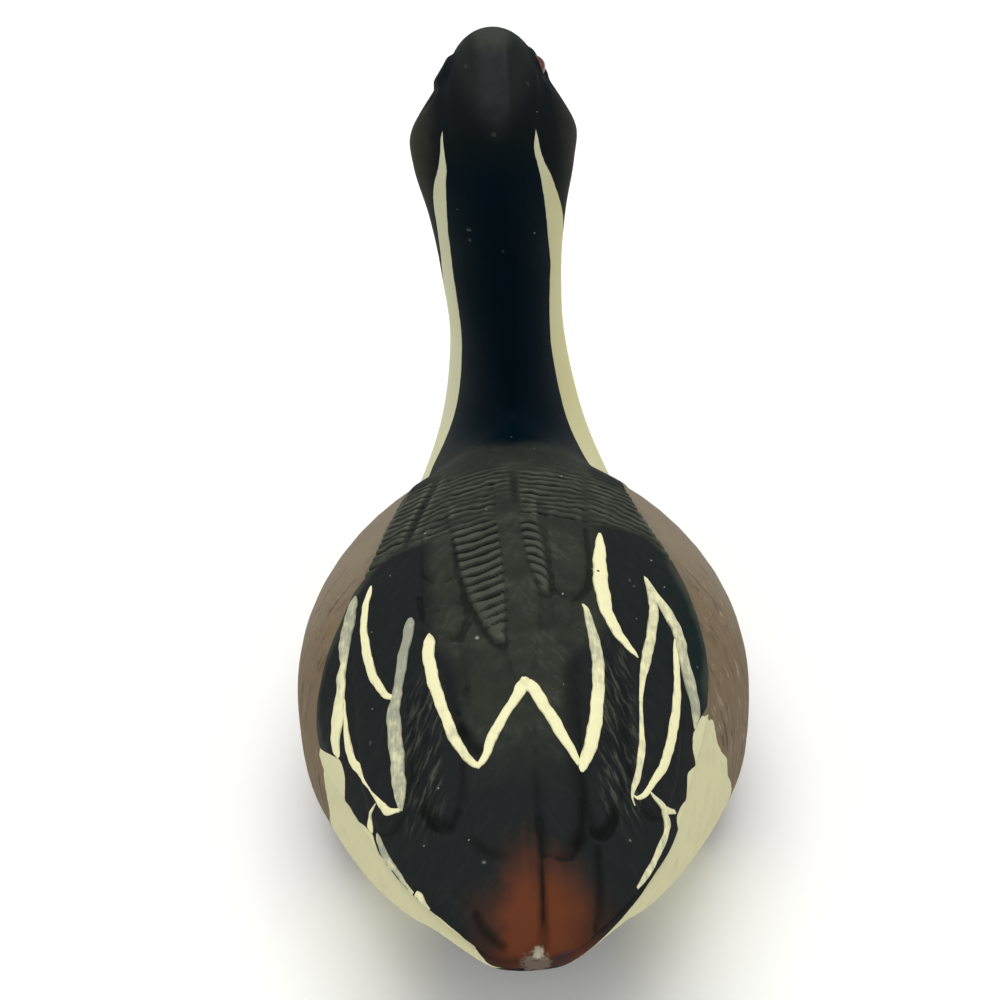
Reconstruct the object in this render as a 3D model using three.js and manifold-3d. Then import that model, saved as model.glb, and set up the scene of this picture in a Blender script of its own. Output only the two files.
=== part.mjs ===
// A miniature drake decoy, cast as one solid piece with a flat underside.
// Millimetres, +Z up. The bird faces -Y and its left side is +X.
// The origin is the middle of the flat underside.

import * as THREE from 'three';
import { mergeVertices } from 'three/addons/utils/BufferGeometryUtils.js';
import Module from 'manifold-3d';

const wasm = await Module();
wasm.setup();

// The carver's plan, as ribs from the tail end to the bill tip.
// back and keel are the [y, z] of a rib's highest and lowest point.
// half is its half-width, which lies at level, from 0 at the keel to 1 at the back.
// crown and belly are the fullness above and below it: 2 is an ellipse, more is boxier.
// sway is how far the hand-made master leans to its left.
// mantle is how far the folded wings reach down each side, in degrees from the back,
// as [left, right], and shell is how far their edge stands off the flank.
const ribs = [
  { at: 'tail end', back: [82.4, 36.0], keel: [82.4, 33.6], half: 3.2, level: 0.50,
    crown: 2.6, belly: 2.6, sway: 0.8, mantle: [62, 66], shell: 0.2 },
  { at: 'tail tip', back: [80.8, 36.8], keel: [80.8, 32.4], half: 6.3, level: 0.50,
    crown: 2.6, belly: 2.6, sway: 0.7, mantle: [62, 66], shell: 0.4 },
  { at: 'tail middle', back: [74.0, 38.8], keel: [74.0, 29.6], half: 12.9, level: 0.45,
    crown: 2.4, belly: 2.2, sway: 0.5, mantle: [69, 68], shell: 0.8 },
  { at: 'tail root', back: [63.0, 41.7], keel: [65.0, 20.0], half: 18.6, level: 0.43,
    crown: 2.2, belly: 2.1, sway: 0.35, mantle: [73, 73], shell: 0.9 },
  { at: 'rump', back: [49.0, 45.2], keel: [52.0, 9.0], half: 24.6, level: 0.43,
    crown: 2.2, belly: 2.35, sway: 0.2, mantle: [74, 66], shell: 0.9 },
  { at: 'hip', back: [34.0, 48.0], keel: [36.6, -1.8], half: 31.1, level: 0.43,
    crown: 2.2, belly: 2.15, sway: -0.2, mantle: [73, 57], shell: 0.9 },
  { at: 'rear flank', back: [19.0, 50.0], keel: [21.0, -3.0], half: 35.4, level: 0.43,
    crown: 2.2, belly: 3.3, sway: -0.4, mantle: [44, 42], shell: 0.9 },
  { at: 'middle flank', back: [5.0, 50.3], keel: [5.0, -3.0], half: 35.6, level: 0.42,
    crown: 2.05, belly: 3.0, sway: -0.4, mantle: [34, 33], shell: 0.8 },
  { at: 'front flank', back: [-7.0, 49.4], keel: [-11.0, -2.5], half: 32.4, level: 0.38,
    crown: 1.9, belly: 2.8, sway: -0.4, mantle: [32, 35], shell: 0.5 },
  { at: 'shoulder', back: [-16.0, 47.8], keel: [-27.0, -1.5], half: 26.3, level: 0.31,
    crown: 1.65, belly: 2.6, sway: -0.5, mantle: [38, 40], shell: 0.2 },
  { at: 'breast', back: [-21.0, 46.6], keel: [-43.0, 5.0], half: 20.5, level: 0.24,
    crown: 1.55, belly: 2.4, sway: -0.8, mantle: [46, 46], shell: 0.0 },
  { at: 'neck root', back: [-25.0, 48.6], keel: [-53.0, 25.0], half: 13.3, level: 0.28,
    crown: 1.65, belly: 2.1, sway: -1.0, mantle: [50, 50], shell: 0.0 },
  { at: 'lower neck', back: [-27.5, 58.0], keel: [-53.0, 46.0], half: 10.1, level: 0.42,
    crown: 1.9, belly: 2.0, sway: -0.7, mantle: [55, 55], shell: 0.0 },
  { at: 'middle neck', back: [-28.0, 71.0], keel: [-49.0, 62.0], half: 10.1, level: 0.50,
    crown: 2.0, belly: 2.0, sway: -0.1, mantle: [65, 65], shell: 0.0 },
  { at: 'upper neck', back: [-25.0, 82.5], keel: [-46.0, 75.0], half: 11.1, level: 0.50,
    crown: 2.0, belly: 2.0, sway: 0.2, mantle: [80, 80], shell: 0.0 },
  { at: 'nape', back: [-23.0, 93.0], keel: [-47.0, 83.5], half: 12.9, level: 0.48,
    crown: 2.0, belly: 2.0, sway: 0.45, mantle: [85, 85], shell: 0.0 },
  { at: 'cheek', back: [-25.0, 102.0], keel: [-49.5, 85.8], half: 13.1, level: 0.42,
    crown: 2.0, belly: 2.1, sway: 0.25, mantle: [85, 85], shell: 0.0 },
  { at: 'eye', back: [-34.0, 109.0], keel: [-52.0, 87.0], half: 8.5, level: 0.47,
    crown: 2.0, belly: 2.1, sway: -0.1, mantle: [85, 85], shell: 0.0 },
  { at: 'forehead', back: [-43.2, 107.6], keel: [-54.5, 87.6], half: 6.9, level: 0.44,
    crown: 2.0, belly: 2.2, sway: 0.0, mantle: [85, 85], shell: 0.0 },
  { at: 'bill root', back: [-50.3, 100.8], keel: [-57.5, 87.9], half: 5.6, level: 0.40,
    crown: 2.0, belly: 2.4, sway: 0.0, mantle: [85, 85], shell: 0.0 },
  { at: 'bill middle', back: [-61.0, 94.9], keel: [-64.0, 86.9], half: 5.2, level: 0.38,
    crown: 2.2, belly: 2.4, sway: 0.0, mantle: [85, 85], shell: 0.0 },
  { at: 'bill spoon', back: [-70.0, 91.6], keel: [-71.0, 86.0], half: 5.9, level: 0.40,
    crown: 2.4, belly: 2.6, sway: 0.0, mantle: [85, 85], shell: 0.0 },
  { at: 'bill tip', back: [-75.5, 88.6], keel: [-75.5, 85.8], half: 3.6, level: 0.45,
    crown: 2.4, belly: 2.6, sway: 0.0, mantle: [85, 85], shell: 0.0 },
];

// Carved feathers that show from a step away, in plan: root and tip are [x, y], bend is
// how far the feather bows to the bird's left between them, half is the half-width,
// rounds is where along it the tip begins to round in and lift is how far it stands up.
const feathers = [
  { of: 'left rippled lobe', root: [6.2, 2], tip: [2.6, 36.4], bend: 0.8,
    half: 4.0, rounds: 0.2, lift: 0.9 },
  { of: 'right rippled lobe', root: [-2.4, 2], tip: [-4.3, 27.2], bend: 0.9,
    half: 1.5, rounds: 0.6, lift: 0.8 },
  { of: 'band between the lobes', root: [0.1, -2], tip: [-0.3, 44], bend: 0,
    half: 1.6, rounds: 0.5, lift: 0.8 },
  { of: 'left scapular', root: [10.9, 12], tip: [10.0, 33.9], bend: 0.4,
    half: 3.3, rounds: 0.6, lift: 0.8 },
  { of: 'right scapular', root: [-7.8, 6], tip: [-7.3, 28], bend: 0,
    half: 2.9, rounds: 0.7, lift: 0.8 },
  { of: 'left tertial', root: [12.6, 28], tip: [10.9, 64.2], bend: 0,
    half: 2.9, rounds: 0.7, lift: 0.8 },
  { of: 'right tertial', root: [-11.0, 28], tip: [-9.4, 66.5], bend: 0,
    half: 2.7, rounds: 0.7, lift: 0.8 },
  { of: 'left wing feather', root: [21.5, 15], tip: [17.6, 60], bend: 0.4,
    half: 3.7, rounds: 0.7, lift: 0.6 },
  { of: 'right wing feather', root: [-21.0, 16], tip: [-15.6, 60.5], bend: -0.4,
    half: 3.7, rounds: 0.7, lift: 0.6 },
  { of: 'left tail covert', root: [3.8, 44], tip: [3.4, 69.8], bend: 0,
    half: 4.6, rounds: 0.7, lift: 0.6 },
  { of: 'right tail covert', root: [-4.4, 44], tip: [-4.3, 70.1], bend: 0,
    half: 2.9, rounds: 0.7, lift: 0.7 },
  { of: 'left tail feather', root: [4.5, 58], tip: [2.5, 86], bend: 0,
    half: 5.2, rounds: 0.3, lift: 0.7 },
  { of: 'right tail feather', root: [-5.0, 58], tip: [-4.2, 87], bend: 0,
    half: 3.5, rounds: 0.5, lift: 0.7 },
];
const fullShell = 0.7;        // mantle edge height above which the carving is full depth
const featherEdge = 0.9;      // width of the slope at a carved feather's edge

const rows = 86;              // ribs in the finished skin
const backColumns = 18;       // facets from the ridge of the back to the mantle's edge
const flankColumns = 8;       // facets from the mantle's edge to the keel
const shellStep = 1.6;        // degrees that the step at the mantle's edge takes

const eye = { rib: 16.87, angle: 59, radius: 1.9, sunk: 1.0 };
const floorCut = { width: 120, length: 220, depth: 20 };

// Uniform Catmull-Rom value at f between b and c, with a and d as neighbours.
function smoothBetween(a, b, c, d, f) {
  const slope = (c - a) * f;
  const bend = (2 * a - 5 * b + 4 * c - d) * f ** 2;
  const twist = (3 * b - a - 3 * c + d) * f ** 3;
  return 0.5 * (2 * b + slope + bend + twist);
}

// One named value of the plan at a place u, counted in ribs from the tail end.
function planValue(u, read) {
  const last = ribs.length - 1;
  const i = Math.min(Math.floor(u), last - 1);
  const b = read(ribs[i]);
  const c = read(ribs[i + 1]);
  const a = i > 0 ? read(ribs[i - 1]) : 2 * b - c;
  const d = i < last - 1 ? read(ribs[i + 2]) : 2 * c - b;
  return smoothBetween(a, b, c, d, u - i);
}

function ribAt(u) {
  const value = (read) => planValue(u, read);
  return {
    back: [value((r) => r.back[0]), value((r) => r.back[1])],
    keel: [value((r) => r.keel[0]), value((r) => r.keel[1])],
    half: value((r) => r.half),
    level: value((r) => r.level),
    crown: value((r) => r.crown),
    belly: value((r) => r.belly),
    sway: value((r) => r.sway),
    mantle: [value((r) => r.mantle[0]), value((r) => r.mantle[1])],
    shell: value((r) => r.shell),
  };
}

// A point of a rib: a superellipse whose angle runs from 0 at the back to 180 degrees
// at the keel, positive on the bird's left.
function ribPoint(rib, angle) {
  const a = THREE.MathUtils.degToRad(angle);
  const up = Math.cos(a);
  const out = Math.sin(a);
  const power = 2 / (up >= 0 ? rib.crown : rib.belly);
  const x = rib.half * Math.sign(out) * Math.abs(out) ** power + rib.sway;
  const rise = Math.sign(up) * Math.abs(up) ** power;
  const share = rib.level + rise * (up >= 0 ? 1 - rib.level : rib.level);
  const y = THREE.MathUtils.lerp(rib.keel[0], rib.back[0], share);
  const z = THREE.MathUtils.lerp(rib.keel[1], rib.back[1], share);
  return new THREE.Vector3(x, y, z);
}

// How far a feather stands up at a plan point: it rises from its root to its tip,
// rounds in at the tip, and slopes off over featherEdge at its rim.
function featherHeight(feather, x, y) {
  const root = new THREE.Vector2(...feather.root);
  const run = new THREE.Vector2(...feather.tip).sub(root);
  const length = run.length();
  const from = new THREE.Vector2(x, y).sub(root);
  const along = from.dot(run) / length ** 2;
  if (along <= 0 || along >= 1) return 0;
  const middle = 4 * feather.bend * along * (1 - along);
  const across = Math.abs(from.cross(run) / length - middle);
  const past = Math.max(0, (along - feather.rounds) / (1 - feather.rounds));
  const half = feather.half * Math.sqrt(1 - past ** 2);
  const rim = THREE.MathUtils.smoothstep(half - across, 0, featherEdge);
  return feather.lift * along * rim;
}

// Angles of one rib's facets, from the back round the left side and back up the right.
function ribAngles(rib) {
  const side = (edge) => {
    const angles = [];
    for (let k = 0; k <= backColumns; k += 1) angles.push((edge * k) / backColumns);
    for (let k = 0; k <= flankColumns; k += 1) {
      const start = edge + shellStep;
      angles.push(start + ((180 - start) * k) / flankColumns);
    }
    return angles;
  };
  const left = side(rib.mantle[0]);
  const right = side(rib.mantle[1]).slice(1, -1).reverse();
  return [...left, ...right.map((angle) => -angle)];
}

// Places of the finished ribs, spaced evenly along the bird's middle line.
function evenPlaces(count) {
  const fine = 600;
  const reach = ribs.length - 1;
  const middle = (u) => {
    const rib = ribAt(u);
    return new THREE.Vector2(rib.back[0] + rib.keel[0], rib.back[1] + rib.keel[1]);
  };
  const run = [0];
  let before = middle(0);
  for (let k = 1; k <= fine; k += 1) {
    const here = middle((reach * k) / fine);
    run.push(run[k - 1] + here.distanceTo(before));
    before = here;
  }
  const places = [];
  let k = 0;
  for (let row = 0; row < count; row += 1) {
    const goal = (run[fine] * row) / (count - 1);
    while (k < fine - 1 && run[k + 1] < goal) k += 1;
    const share = (goal - run[k]) / (run[k + 1] - run[k]);
    places.push((reach * (k + share)) / fine);
  }
  return places;
}

// Outward direction of the plain skin at a place and angle.
function skinNormal(u, angle) {
  const du = 0.02;
  const dAngle = 1;
  const last = ribs.length - 1;
  const ahead = ribPoint(ribAt(Math.min(u + du, last)), angle);
  const behind = ribPoint(ribAt(Math.max(u - du, 0)), angle);
  const rib = ribAt(u);
  const left = ribPoint(rib, angle + dAngle);
  const right = ribPoint(rib, angle - dAngle);
  return ahead.sub(behind).cross(left.sub(right)).normalize();
}

// The whole skin: ribs joined by quads, with a fan over each end.
function skinGeometry() {
  const points = [];
  const faces = [];
  const places = evenPlaces(rows);
  const columns = 2 * (backColumns + flankColumns + 1);
  for (const u of places) {
    const rib = ribAt(u);
    const angles = ribAngles(rib);
    for (const angle of angles) {
      const point = ribPoint(rib, angle);
      const edge = rib.mantle[angle >= 0 ? 0 : 1];
      let height = 0;
      if (Math.abs(angle) <= edge + 1e-6) {
        const carved = feathers.map((f) => featherHeight(f, point.x, point.y));
        const fade = THREE.MathUtils.smoothstep(rib.shell, 0, fullShell);
        height = rib.shell * fade + Math.max(...carved) * fade;
      }
      points.push(point.addScaledVector(skinNormal(u, angle), height));
    }
  }
  for (let row = 0; row < rows - 1; row += 1) {
    for (let k = 0; k < columns; k += 1) {
      const next = (k + 1) % columns;
      const a = row * columns + k;
      const b = row * columns + next;
      const c = a + columns;
      const d = b + columns;
      faces.push(a, c, b, b, c, d);
    }
  }
  const cap = (row, turn) => {
    const ring = points.slice(row * columns, (row + 1) * columns);
    const hub = ring.reduce((sum, p) => sum.add(p), new THREE.Vector3());
    points.push(hub.divideScalar(columns));
    for (let k = 0; k < columns; k += 1) {
      const a = row * columns + k;
      const b = row * columns + ((k + 1) % columns);
      faces.push(points.length - 1, ...(turn ? [b, a] : [a, b]));
    }
  };
  cap(0, false);
  cap(rows - 1, true);
  const geometry = new THREE.BufferGeometry().setFromPoints(points);
  geometry.setIndex(faces);
  return geometry;
}

// A moulded eye: a small ball sunk into the side of the head.
function eyeGeometry(side) {
  const place = ribPoint(ribAt(eye.rib), side * eye.angle);
  place.addScaledVector(skinNormal(eye.rib, side * eye.angle), -eye.sunk);
  const ball = new THREE.SphereGeometry(eye.radius, 18, 12);
  return ball.translate(place.x, place.y, place.z);
}

function floorGeometry() {
  const box = new THREE.BoxGeometry(floorCut.width, floorCut.length, floorCut.depth);
  return box.translate(0, 0, -floorCut.depth / 2);
}

function toSolid(geometry) {
  const bare = geometry.clone();
  bare.deleteAttribute('normal');
  bare.deleteAttribute('uv');
  const merged = mergeVertices(bare, 1e-4);
  return new wasm.Manifold(new wasm.Mesh({
    numProp: 3,
    vertProperties: new Float32Array(merged.attributes.position.array),
    triVerts: new Uint32Array(merged.index.array),
  }));
}

function toGeometry(solid) {
  const mesh = solid.getMesh();
  const geometry = new THREE.BufferGeometry();
  geometry.setAttribute('position', new THREE.BufferAttribute(mesh.vertProperties, 3));
  geometry.setIndex(new THREE.BufferAttribute(mesh.triVerts, 1));
  geometry.computeVertexNormals();
  return geometry;
}

function duckDecoy() {
  let solid = toSolid(skinGeometry());
  solid = solid.add(toSolid(eyeGeometry(1)));
  solid = solid.add(toSolid(eyeGeometry(-1)));
  solid = solid.subtract(toSolid(floorGeometry()));
  const paint = new THREE.MeshStandardMaterial({
    color: 0x2b2c29,
    roughness: 0.6,
    metalness: 0,
  });
  const mesh = new THREE.Mesh(toGeometry(solid), paint);
  mesh.name = 'duck_decoy';
  return mesh;
}

const decoy = new THREE.Group();
decoy.add(duckDecoy());
export default decoy;
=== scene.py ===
# %% [markdown]
# A miniature drake decoy, cast in one piece and painted by hand.
#
# The real bird is a solid casting about as long as a hand: a carver made the master,
# and every copy carries the carver's knife lines in its skin.
# Everything else that the eye meets is paint: a dark back, a cream breast and flank,
# brown sides, a rust tail and thick pale brush strokes that draw the wing feathers.
# The lesson goes the same way. First comes the skin, then the carving on it,
# then the paint, then the strokes, and last the light and the camera.

# %% Load the frame that everything is built around
import bpy
import numpy as np
from mathutils import Matrix, Vector


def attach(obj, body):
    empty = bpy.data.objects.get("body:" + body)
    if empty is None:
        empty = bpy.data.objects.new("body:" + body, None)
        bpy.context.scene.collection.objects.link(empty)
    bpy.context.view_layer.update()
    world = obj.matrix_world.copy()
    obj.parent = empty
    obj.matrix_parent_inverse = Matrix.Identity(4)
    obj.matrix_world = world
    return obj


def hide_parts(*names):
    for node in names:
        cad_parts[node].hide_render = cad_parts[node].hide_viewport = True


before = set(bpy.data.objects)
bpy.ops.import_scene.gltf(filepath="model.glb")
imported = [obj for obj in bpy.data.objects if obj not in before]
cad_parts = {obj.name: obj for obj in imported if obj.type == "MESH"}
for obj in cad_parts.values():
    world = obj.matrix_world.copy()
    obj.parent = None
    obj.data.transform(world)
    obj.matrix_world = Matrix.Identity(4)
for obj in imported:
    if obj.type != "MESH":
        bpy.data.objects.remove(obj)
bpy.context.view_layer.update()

MM = 0.001
scene = bpy.context.scene
scene.view_settings.view_transform = "Standard"

# %% [markdown]
# A carver starts from a side view and a top view, and saws cross-sections between them.
# The same plan works in numpy: a short list of ribs, each a rounded section with
# its top and bottom point, its half-width and how full it is above and below.
# The skin is then a function of two parameters: u, counted in ribs from the tail,
# and an angle round the rib, which is 0 on the ridge of the back, 180 at the keel
# and positive on the bird's left. Sizes are millimetres until a mesh is made.

# %% The carver's plan
PLAN_PARTS = ("back_y", "back_z", "keel_y", "keel_z", "half", "level",
              "crown", "belly", "sway", "mantle_left", "mantle_right", "shell")
RIBS = np.array([
    (82.4, 36.0, 82.4, 33.6, 3.2, 0.50, 2.60, 2.6, 0.8, 62, 66, 0.2),      # tail end
    (80.8, 36.8, 80.8, 32.4, 6.3, 0.50, 2.60, 2.6, 0.7, 62, 66, 0.4),      # tail tip
    (74.0, 38.8, 74.0, 29.6, 12.9, 0.45, 2.40, 2.2, 0.5, 69, 68, 0.8),     # tail middle
    (63.0, 41.7, 65.0, 20.0, 18.6, 0.43, 2.20, 2.1, 0.35, 73, 73, 0.9),    # tail root
    (49.0, 45.2, 52.0, 9.0, 24.6, 0.43, 2.20, 2.35, 0.2, 74, 66, 0.9),     # rump
    (34.0, 48.0, 36.6, -1.8, 31.1, 0.43, 2.20, 2.15, -0.2, 73, 57, 0.9),   # hip
    (19.0, 50.0, 21.0, -3.0, 35.4, 0.43, 2.20, 3.3, -0.4, 44, 42, 0.9),    # rear flank
    (5.0, 50.3, 5.0, -3.0, 35.6, 0.42, 2.05, 3.0, -0.4, 34, 33, 0.8),      # middle flank
    (-7.0, 49.4, -11.0, -2.5, 32.4, 0.38, 1.90, 2.8, -0.4, 32, 35, 0.5),   # front flank
    (-16.0, 47.8, -27.0, -1.5, 26.3, 0.31, 1.65, 2.6, -0.5, 38, 40, 0.2),  # shoulder
    (-21.0, 46.6, -43.0, 5.0, 20.5, 0.24, 1.55, 2.4, -0.8, 46, 46, 0.0),   # breast
    (-25.0, 48.6, -53.0, 25.0, 13.3, 0.28, 1.65, 2.1, -1.0, 50, 50, 0.0),  # neck root
    (-27.5, 58.0, -53.0, 46.0, 10.1, 0.42, 1.90, 2.0, -0.7, 55, 55, 0.0),  # lower neck
    (-28.0, 71.0, -49.0, 62.0, 10.1, 0.50, 2.00, 2.0, -0.1, 65, 65, 0.0),  # middle neck
    (-25.0, 82.5, -46.0, 75.0, 11.1, 0.50, 2.00, 2.0, 0.2, 80, 80, 0.0),   # upper neck
    (-23.0, 93.0, -47.0, 83.5, 12.9, 0.48, 2.00, 2.0, 0.45, 85, 85, 0.0),  # nape
    (-25.0, 102.0, -49.5, 85.8, 13.1, 0.42, 2.00, 2.1, 0.25, 85, 85, 0.0), # cheek
    (-34.0, 109.0, -52.0, 87.0, 8.5, 0.47, 2.00, 2.1, -0.1, 85, 85, 0.0),  # eye
    (-43.2, 107.6, -54.5, 87.6, 6.9, 0.44, 2.00, 2.2, 0.0, 85, 85, 0.0),   # forehead
    (-50.3, 100.8, -57.5, 87.9, 5.6, 0.40, 2.00, 2.4, 0.0, 85, 85, 0.0),   # bill root
    (-61.0, 94.9, -64.0, 86.9, 5.2, 0.38, 2.20, 2.4, 0.0, 85, 85, 0.0),    # bill middle
    (-70.0, 91.6, -71.0, 86.0, 5.9, 0.40, 2.40, 2.6, 0.0, 85, 85, 0.0),    # bill spoon
    (-75.5, 88.6, -75.5, 85.8, 3.6, 0.45, 2.40, 2.6, 0.0, 85, 85, 0.0),    # bill tip
])
LAST_RIB = len(RIBS) - 1
print(len(RIBS), "ribs of", len(PLAN_PARTS), "values")

# %% [markdown]
# Between the ribs the skin has to flow, like a batten that is bent round pegs.
# A Catmull-Rom curve does that in one formula: it passes through every peg, and takes
# its slope there from the two neighbours. All twelve values of the plan
# go through it at once, and later the brush strokes do too.

# %% A smooth curve through every value
def through(values, place):
    """Catmull-Rom value at a place counted along the rows of values. With neighbours
    a, b, c, d and f from 0 at b to 1 at c it is half of
    2b + (c-a)f + (2a-5b+4c-d)f^2 + (3b-a-3c+d)f^3."""
    ends = np.vstack([2 * values[0] - values[1], values, 2 * values[-1] - values[-2]])
    i = np.clip(np.floor(place).astype(int), 0, len(values) - 2)
    a, b, c, d = (ends[i + step] for step in range(4))
    f = (place - i)[..., None]
    bend = 2 * a - 5 * b + 4 * c - d
    twist = 3 * b - a - 3 * c + d
    return 0.5 * (2 * b + (c - a) * f + bend * f ** 2 + twist * f ** 3)


def rib_at(u):
    """Every value of the plan at the places u, by name."""
    values = through(RIBS, np.clip(u, 0, LAST_RIB))
    return {part: values[..., k] for k, part in enumerate(PLAN_PARTS)}


print("widest half of a rib:", rib_at(np.linspace(0, LAST_RIB, 200))["half"].max().round(1), "mm")

# %% [markdown]
# A rib is a superellipse, which can be anything from a pointed arch to a rounded box,
# so the keel can be full where the back is sharp. Comparing neighbouring points gives
# the direction that faces outwards, which the carving needs, and how many
# millimetres a step spans, which the paint's borders need.

# %% The plain skin
def plain_skin(u, angle):
    """Points of the uncarved skin. A rib is a superellipse: sideways it reaches
    half * |sin|^(2/n), upwards |cos|^(2/n), with n the fullness above or below."""
    rib = rib_at(u)
    turn = np.radians(angle)
    up = np.cos(turn)
    out = np.sin(turn)
    above = up >= 0
    power = 2 / np.where(above, rib["crown"], rib["belly"])
    x = rib["half"] * np.sign(out) * np.abs(out) ** power + rib["sway"]
    rise = np.sign(up) * np.abs(up) ** power
    share = rib["level"] + rise * np.where(above, 1 - rib["level"], rib["level"])
    y = rib["keel_y"] + share * (rib["back_y"] - rib["keel_y"])
    z = rib["keel_z"] + share * (rib["back_z"] - rib["keel_z"])
    return np.stack([x, y, z], axis=-1)


def skin_frame(u, angle):
    """Outward direction of the plain skin, and the millimetres that one rib place and
    one degree span there: the cross product and the lengths of the two slopes."""
    du = 0.02
    dangle = 0.5
    ahead = plain_skin(np.clip(u + du, 0, LAST_RIB), angle)
    behind = plain_skin(np.clip(u - du, 0, LAST_RIB), angle)
    along = (ahead - behind) / (2 * du)
    around = (plain_skin(u, angle + dangle) - plain_skin(u, angle - dangle)) / (2 * dangle)
    outward = np.cross(along, around)
    outward /= np.maximum(np.linalg.norm(outward, axis=-1, keepdims=True), 1e-9)
    mm_per_rib = np.linalg.norm(along, axis=-1)
    mm_per_degree = np.linalg.norm(around, axis=-1)
    return outward, np.maximum(mm_per_rib, 0.1), np.maximum(mm_per_degree, 0.01)


print("top of the back at", plain_skin(np.array(7.0), np.array(0.0)).round(1), "mm")

# %% [markdown]
# The grid has to be finest where the carving is. Combed feather ripples lie less than
# two millimetres apart on the back, so the rows there are a third of a millimetre
# apart, and the neck and bill make do with far fewer. Round each rib, most columns lie
# on the mantle, the folded wings and back, and one pair of them follows
# its edge, so that the little step down to the flank stays crisp.

# %% The grid that the skin is worked out on
ROWS_BETWEEN = (6, 18, 27, 34, 36, 46, 50, 42, 30, 16, 16,
                16, 16, 14, 14, 14, 18, 14, 14, 16, 14, 12)
MANTLE_COLUMNS = 76
FLANK_COLUMNS = 23
STEP_DEGREES = 0.9

rows = [rib + np.arange(count) / count for rib, count in enumerate(ROWS_BETWEEN)]
row_places = np.concatenate([*rows, [LAST_RIB]])


def side_angles(edge):
    """Angles down one side of each rib: even steps to the mantle's edge, one half way
    down its step, and even steps from the step's foot to the keel."""
    edge = edge[:, None]
    mantle = edge * np.linspace(0, 1, MANTLE_COLUMNS + 1)
    foot = edge + STEP_DEGREES
    flank = foot + (180 - foot) * np.linspace(0, 1, FLANK_COLUMNS + 1)
    return np.hstack([mantle, (edge + foot) / 2, flank])


edges = rib_at(row_places)
left_angles = side_angles(edges["mantle_left"])
right_angles = side_angles(edges["mantle_right"])
grid_angle = np.hstack([left_angles, -right_angles[:, -2:0:-1]])
grid_u = np.repeat(row_places[:, None], grid_angle.shape[1], axis=1)
print("grid of", grid_u.shape, "points")

# %% [markdown]
# Carving is a height above the plain skin. Each carved feather is a leaf in plan view:
# it rises from its root to its tip and ends in a rounded rim, as the knife left it.
# The folded wings are one shell that stands a little proud of the flank.
# Because it is all a function of the place on the skin, the same numbers
# later tell the paint strokes how high the surface is beneath them.

# %% Carved feathers in plan
FEATHERS = {
    # root, tip, bow to the bird's left, half-width, where the tip starts to round in, lift
    "left rippled lobe": ((6.2, 2), (2.6, 36.4), 0.8, 4.0, 0.2, 0.9),
    "right rippled lobe": ((-2.4, 2), (-4.3, 27.2), 0.9, 1.8, 0.6, 0.8),
    "band between the lobes": ((0.1, -2), (-0.3, 44), 0.0, 3.1, 0.5, 0.6),
    "left scapular, top": ((11.2, 8), (10.9, 23.2), 0.0, 2.7, 0.7, 0.75),
    "left scapular, middle": ((10.9, 19), (10.4, 28.4), 0.0, 3.0, 0.6, 0.8),
    "left scapular, low": ((10.9, 24), (10.0, 33.9), 0.3, 3.3, 0.5, 0.85),
    "right scapular": ((-7.8, 6), (-7.3, 28), 0.0, 2.9, 0.7, 0.8),
    "right scapular, low": ((-6.2, 22), (-6.0, 33.5), -0.2, 1.5, 0.4, 0.6),
    "small feather by the left line": ((10.2, 30), (9.4, 40.5), 0.3, 1.7, 0.5, 0.6),
    "smaller feather behind it": ((9.4, 37), (8.3, 47), 0.3, 1.4, 0.5, 0.55),
    "middle plate": ((1.6, 28), (1.6, 52), 0.0, 5.6, 0.7, 0.35),
    "left tertial": ((12.6, 28), (10.9, 64.2), 0.0, 2.9, 0.7, 0.6),
    "right tertial": ((-11.0, 28), (-9.4, 66.5), 0.0, 2.7, 0.7, 0.6),
    "left wing feather": ((21.5, 15), (17.6, 60), 0.4, 3.7, 0.7, 0.6),
    "right wing feather": ((-21.0, 16), (-15.6, 60.5), -0.4, 3.7, 0.7, 0.6),
    "left tail covert": ((3.8, 44), (3.4, 69.8), 0.0, 4.6, 0.7, 0.4),
    "right tail covert": ((-4.4, 44), (-4.3, 70.1), 0.0, 2.9, 0.7, 0.5),
    "left tail feather": ((4.5, 58), (2.5, 86), 0.0, 5.2, 0.3, 0.6),
    "right tail feather": ((-5.0, 58), (-4.2, 87), 0.0, 3.5, 0.5, 0.6),
    "left outer tail feather": ((9.6, 60), (8.0, 86), 0.0, 3.0, 0.7, 0.35),
    "right outer tail feather": ((-11.0, 60), (-9.6, 86), 0.0, 3.0, 0.7, 0.35),
}
print(len(FEATHERS), "carved feathers")

# %% [markdown]
# Three small tools make the leaves and everything after them. The first is a smooth
# step from 0 to 1, used wherever something starts or fades. The second tells how far
# a point lies along a feather and inside its outline, and the third is a
# slow waver, because no line that a hand carved is straight.

# %% Smooth steps, leaves and a waver
FEATHER_RIM = 0.8


def ease(value, low, high):
    """0 at low, 1 at high and the smooth curve 3t^2 - 2t^3 between them."""
    t = np.clip((value - low) / (high - low), 0, 1)
    return t * t * (3 - 2 * t)


def leaf_places(x, y, feather):
    """How far along a feather a plan point lies, 0 to 1, and how many millimetres
    inside its outline. The outline is half * sqrt(1 - past^2) either side of a middle
    that bows by 4 * bow * along * (1 - along), with past 0 where the tip rounds in."""
    root, tip, bow, half, rounds, _ = feather
    run = np.subtract(tip, root)
    length = np.hypot(*run)
    along = ((x - root[0]) * run[0] + (y - root[1]) * run[1]) / length ** 2
    across = ((x - root[0]) * run[1] - (y - root[1]) * run[0]) / length
    past = np.clip((along - rounds) / (1 - rounds), 0, 1)
    inside = half * np.sqrt(1 - past ** 2) - np.abs(across - 4 * bow * along * (1 - along))
    return along, np.where((along > 0) & (along < 1), inside, -1)


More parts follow.
